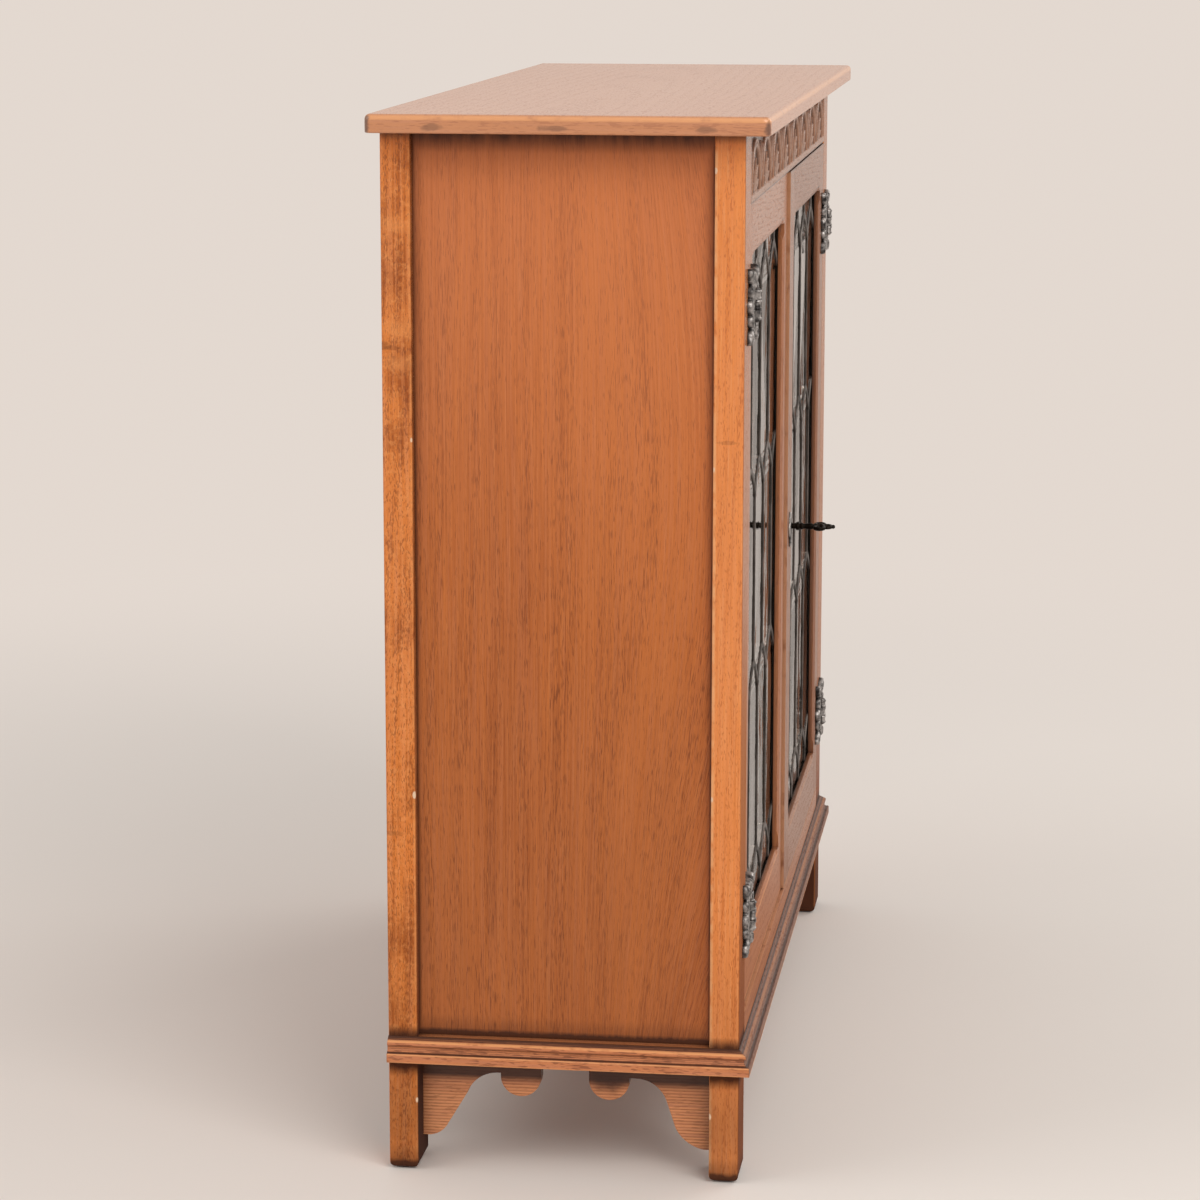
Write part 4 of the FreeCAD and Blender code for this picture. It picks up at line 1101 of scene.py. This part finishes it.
def leafRelief(u, w):
    # a beaded rim, scrolls coiled round the lobes, flutes towards the pin and flat seats for the screws
    h = hingeLook
    v = np.abs(w)
    d = leafShape(u, w)
    edge = rounded(np.clip(1.0 - d / h["easing"], 0.0, 1.0))
    tall = h["thick"] * (0.5 + 0.5 * edge) + h["rim"] * hump(d - 1.5, 0.7)
    for a, b, r in h["volutes"]:
        reach, coil = coiled(u - a, v - b, h["coil"])
        tall += h["coilRise"] * coil * smooth(reach, r, r - 1.5) * smooth(d, 0.4, 1.4)
        tall += h["dome"] * np.clip(1.0 - (reach / r) ** 2, 0.0, 1.0) * smooth(d, 0.2, 2.0)
    flutes = np.cos(h["flutes"] * np.arctan2(v, u - 1.0)) * smooth(d, 1.6, 3.0)
    tall += h["fluteRise"] * flutes * smooth(u, 14.5, 11.0) * smooth(v, 12.0, 8.0)
    for a, b in h["screws"]:
        seat = smooth(np.hypot(u - a, w - b), h["screwR"] + 0.3, h["screwR"] + 1.2)
        tall = h["thick"] + (tall - h["thick"]) * seat
    return np.minimum(tall, h["thick"] + 1.0 + 0.10 * u)


def screwHead(turn):
    h = hingeLook
    c, s = math.cos(turn), math.sin(turn)

    def shape(u, w):
        return h["screwR"] - np.hypot(u, w)

    def relief(u, w):
        ball = (h["screwR"] ** 2 + h["screwRise"] ** 2) / (2 * h["screwRise"])
        dome = np.sqrt(np.maximum(ball ** 2 - u ** 2 - w ** 2, 0.0)) - (ball - h["screwRise"])
        cut = smooth(np.abs(u * c + w * s), 0.45, 0.25)
        return h["thick"] + np.maximum(dome - h["slot"] * cut, 0.12)

    r = h["screwR"] + 0.2
    return castPlate((-r, r, -r, r), 0.2, shape, relief, -h["thick"] + 0.4)


def onPin(profile):
    return moved(lathe(profile), (0.0, -hingeLook["axisOut"], 0.0))


def knuckle(low, high):
    r = hingeLook["knuckle"]
    end = ((0.0, 0.0), (r - 0.5, 0.0), (r, 0.5), (r, 1.8), (r - 0.6, 2.3))
    return onPin([(a, low + b) for a, b in end] + [(a, high - b) for a, b in reversed(end)])


def hingePin():
    top = hingeLook["barrel"] / 2
    button = [(r, top + up) for r, up in hingeLook["button"]]
    return onPin([(r, -z) for r, z in reversed(button)] + button)


def hingeLeaf(flat, bands):
    chunks = [flat]
    for low, high in bands:
        strap = bar([(u, y, low) for u, y in hingeLook["strap"]], (0.0, 0.0, high - low))
        chunks += [knuckle(low, high), strap]
    return joined(chunks)


def makeHinges(h):
    levels = (doorLow + h["inset"][0], doorHigh - h["inset"][1])
    axis = opening - h["gap"]
    span = (h["root"] - 0.5, h["reach"], -h["tall"], h["tall"])
    m, b = h["middle"] / 2, h["barrel"] / 2
    postFlat = castPlate(span, h["step"], leafShape, leafRelief, 0.0)
    postLeaf = hingeLeaf(postFlat, ((-b, -m - h["play"]), (m + h["play"], b)))
    turns = iter(np.random.default_rng(h["seed"]).uniform(0, math.pi, 48))

    def screws(s, x, z):
        return [moved(screwHead(next(turns)), (x + s * u, 0.0, z + w)) for u, w in h["screws"]]

    def cast(name, chunks, body, stands):
        makePiece(name, joined(chunks), hingeMetal, body, [stands])

    posts, postScrews, pins = [], [], []
    for side, sign in (("left", -1), ("right", 1)):
        seat = nodes[side + "_hinge_stile"]
        back = min(v.co.y for v in seat.data.vertices) / mm - faceY
        doorLeaf = hingeLeaf(castPlate(span, h["step"], leafShape, leafRelief, back), ((-m, m),))
        x = sign * axis
        leaves, heads = [], []
        for z in levels:
            posts.append(moved(postLeaf, (x, 0.0, z), sign))
            pins.append(moved(hingePin(), (x, 0.0, z)))
            leaves.append(moved(doorLeaf, (x, 0.0, z), -sign))
            postScrews += screws(sign, x, z)
            heads += screws(-sign, x, z)
        cast(side + "_door_hinges", leaves, side + "_door", side + "_hinge_leaves")
        cast(side + "_door_screws", heads, side + "_door", side + "_hinge_screws")
    cast("post_hinges", posts, "carcass", "hinge_post_leaves")
    cast("post_screws", postScrews, "carcass", "hinge_post_screws")
    cast("hinge_button_pins", pins, "carcass", "hinge_pins")


makeHinges(hingeLook)

print("stage: escutcheon and key")

# Radii and places from the keyhole
plateLook = dict(
    thick=2.0, discs=((0.0, 11.0), (9.5, 6.0), (14.3, 3.0)),
    keyUp=3.5, hole=3.4, slot=(1.5, 9.5), rim=0.5, coil=2.4, rays=12.0, cut=0.25,
    span=(-12.0, 12.0, -18.0, 18.0), step=0.35,
)


def plateShape(u, w):
    p = plateLook
    one, two, three = (r - np.hypot(u, np.abs(w) - up) for up, r in p["discs"])
    d = softMax(softMax(one, two, 1.5), three, 1.5)
    key = w - p["keyUp"]
    slot = np.maximum(np.abs(u) - p["slot"][0], np.maximum(key, -key - p["slot"][1]))
    return np.minimum(np.minimum(d, np.hypot(u, key) - p["hole"]), slot)


def plateRelief(u, w):
    p = plateLook
    d = plateShape(u, w)
    edge = rounded(np.clip(1.0 - d / 0.8, 0.0, 1.0))
    tall = p["thick"] * (0.45 + 0.35 * edge) + p["rim"] * hump(d - 1.3, 0.6)
    # a scroll on each end disc, and rays round the keyhole
    reach, coil = coiled(np.abs(u), np.abs(w) - p["discs"][1][0], p["coil"])
    coil *= smooth(reach, 5.6, 4.0)
    rays = np.cos(p["rays"] * np.arctan2(u, w)) * smooth(np.abs(np.hypot(u, w) - 7.6), 2.6, 1.2)
    return tall + p["cut"] * smooth(d, 0.8, 2.0) * (coil + rays)


# Lengths outwards from the door's face; the bow is a trefoil of rounded rings
keyLook = dict(
    tilt=-5.0,                         # degrees about its own shaft
    shaft=2.75,
    turnings=((2.75, 6.4), (3.7, 6.7), (4.15, 7.4), (4.15, 9.0), (3.7, 9.8), (2.8, 10.2), (2.8, 11.4),
              (3.3, 12.0), (3.3, 12.8), (2.6, 13.6), (2.5, 16.0), (2.9, 19.0), (3.2, 21.0), (2.9, 22.6),
              (2.3, 23.6), (2.3, 25.5)),
    # rings: off the middle, out, ring and wire radius
    rings=((5.7, 29.8, 4.6, 1.9), (-5.7, 29.8, 4.6, 1.9), (0.0, 37.0, 4.2, 1.7)),
    balls=((2.0, 42.9), (2.9, 31.4)),  # radius and distance out
    bit=(3.0, 8.0, 23.5, 29.5),        # width, drop, from and to behind the face
)


def ringOf(across, out, ring, wireR):
    points = []
    for a in around(36):
        for b in around(14):
            r = ring + wireR * math.cos(b)
            points.append((across + r * math.cos(a), -out + r * math.sin(a), wireR * math.sin(b)))
    return points, net(36, 14, closed=True)


def turnedOut(profile):
    # a lathe profile laid along the key, its heights measured outwards from the door
    points, faces = lathe(profile, 24)
    return [(x, -z, y) for x, y, z in points], faces


def ball(r, out, rows=12):
    turns = [math.pi * k / rows for k in range(rows + 1)]
    return turnedOut([(r * math.sin(turn), out - r * math.cos(turn)) for turn in turns])


def makeKey(k):
    lowCorner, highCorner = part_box("escutcheon")
    x, z = (lowCorner.x + highCorner.x) / 2 / mm, (lowCorner.z + highCorner.z) / 2 / mm
    plate = castPlate(plateLook["span"], plateLook["step"], plateShape, plateRelief, 0.0)
    plate = moved(plate, (x, 0.0, z))
    makePiece("keyhole_plate", plate, hingeMetal, "right_door", ["escutcheon"])
    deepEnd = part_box("key")[1].y / mm - faceY
    shaft = [(0.0, -deepEnd), (k["shaft"] - 0.5, -deepEnd), (k["shaft"], -deepEnd + 0.6)]
    width, drop, bitFrom, bitTo = k["bit"]
    bit = [(s * width / 2, bitFrom, level) for s, level in ((-1, 0.0), (1, 0.0), (1, -drop), (-1, -drop))]
    chunks = [turnedOut(shaft + list(k["turnings"]) + [(0.0, k["turnings"][-1][1])]),
              bar(bit, (0.0, bitTo - bitFrom, 0.0))]
    chunks += [ringOf(*ring) for ring in k["rings"]] + [ball(*one) for one in k["balls"]]
    points, faces = joined(chunks)
    turn = math.radians(k["tilt"])
    c, s = math.cos(turn), math.sin(turn)
    points = np.c_[points[:, 0] * c + points[:, 2] * s, points[:, 1], points[:, 2] * c - points[:, 0] * s]
    keyZ = z + plateLook["keyUp"]
    makePiece("bronze_key", moved((points, faces), (x, 0.0, keyZ)), keyMetal, "key", ["key"])


makeKey(keyLook)
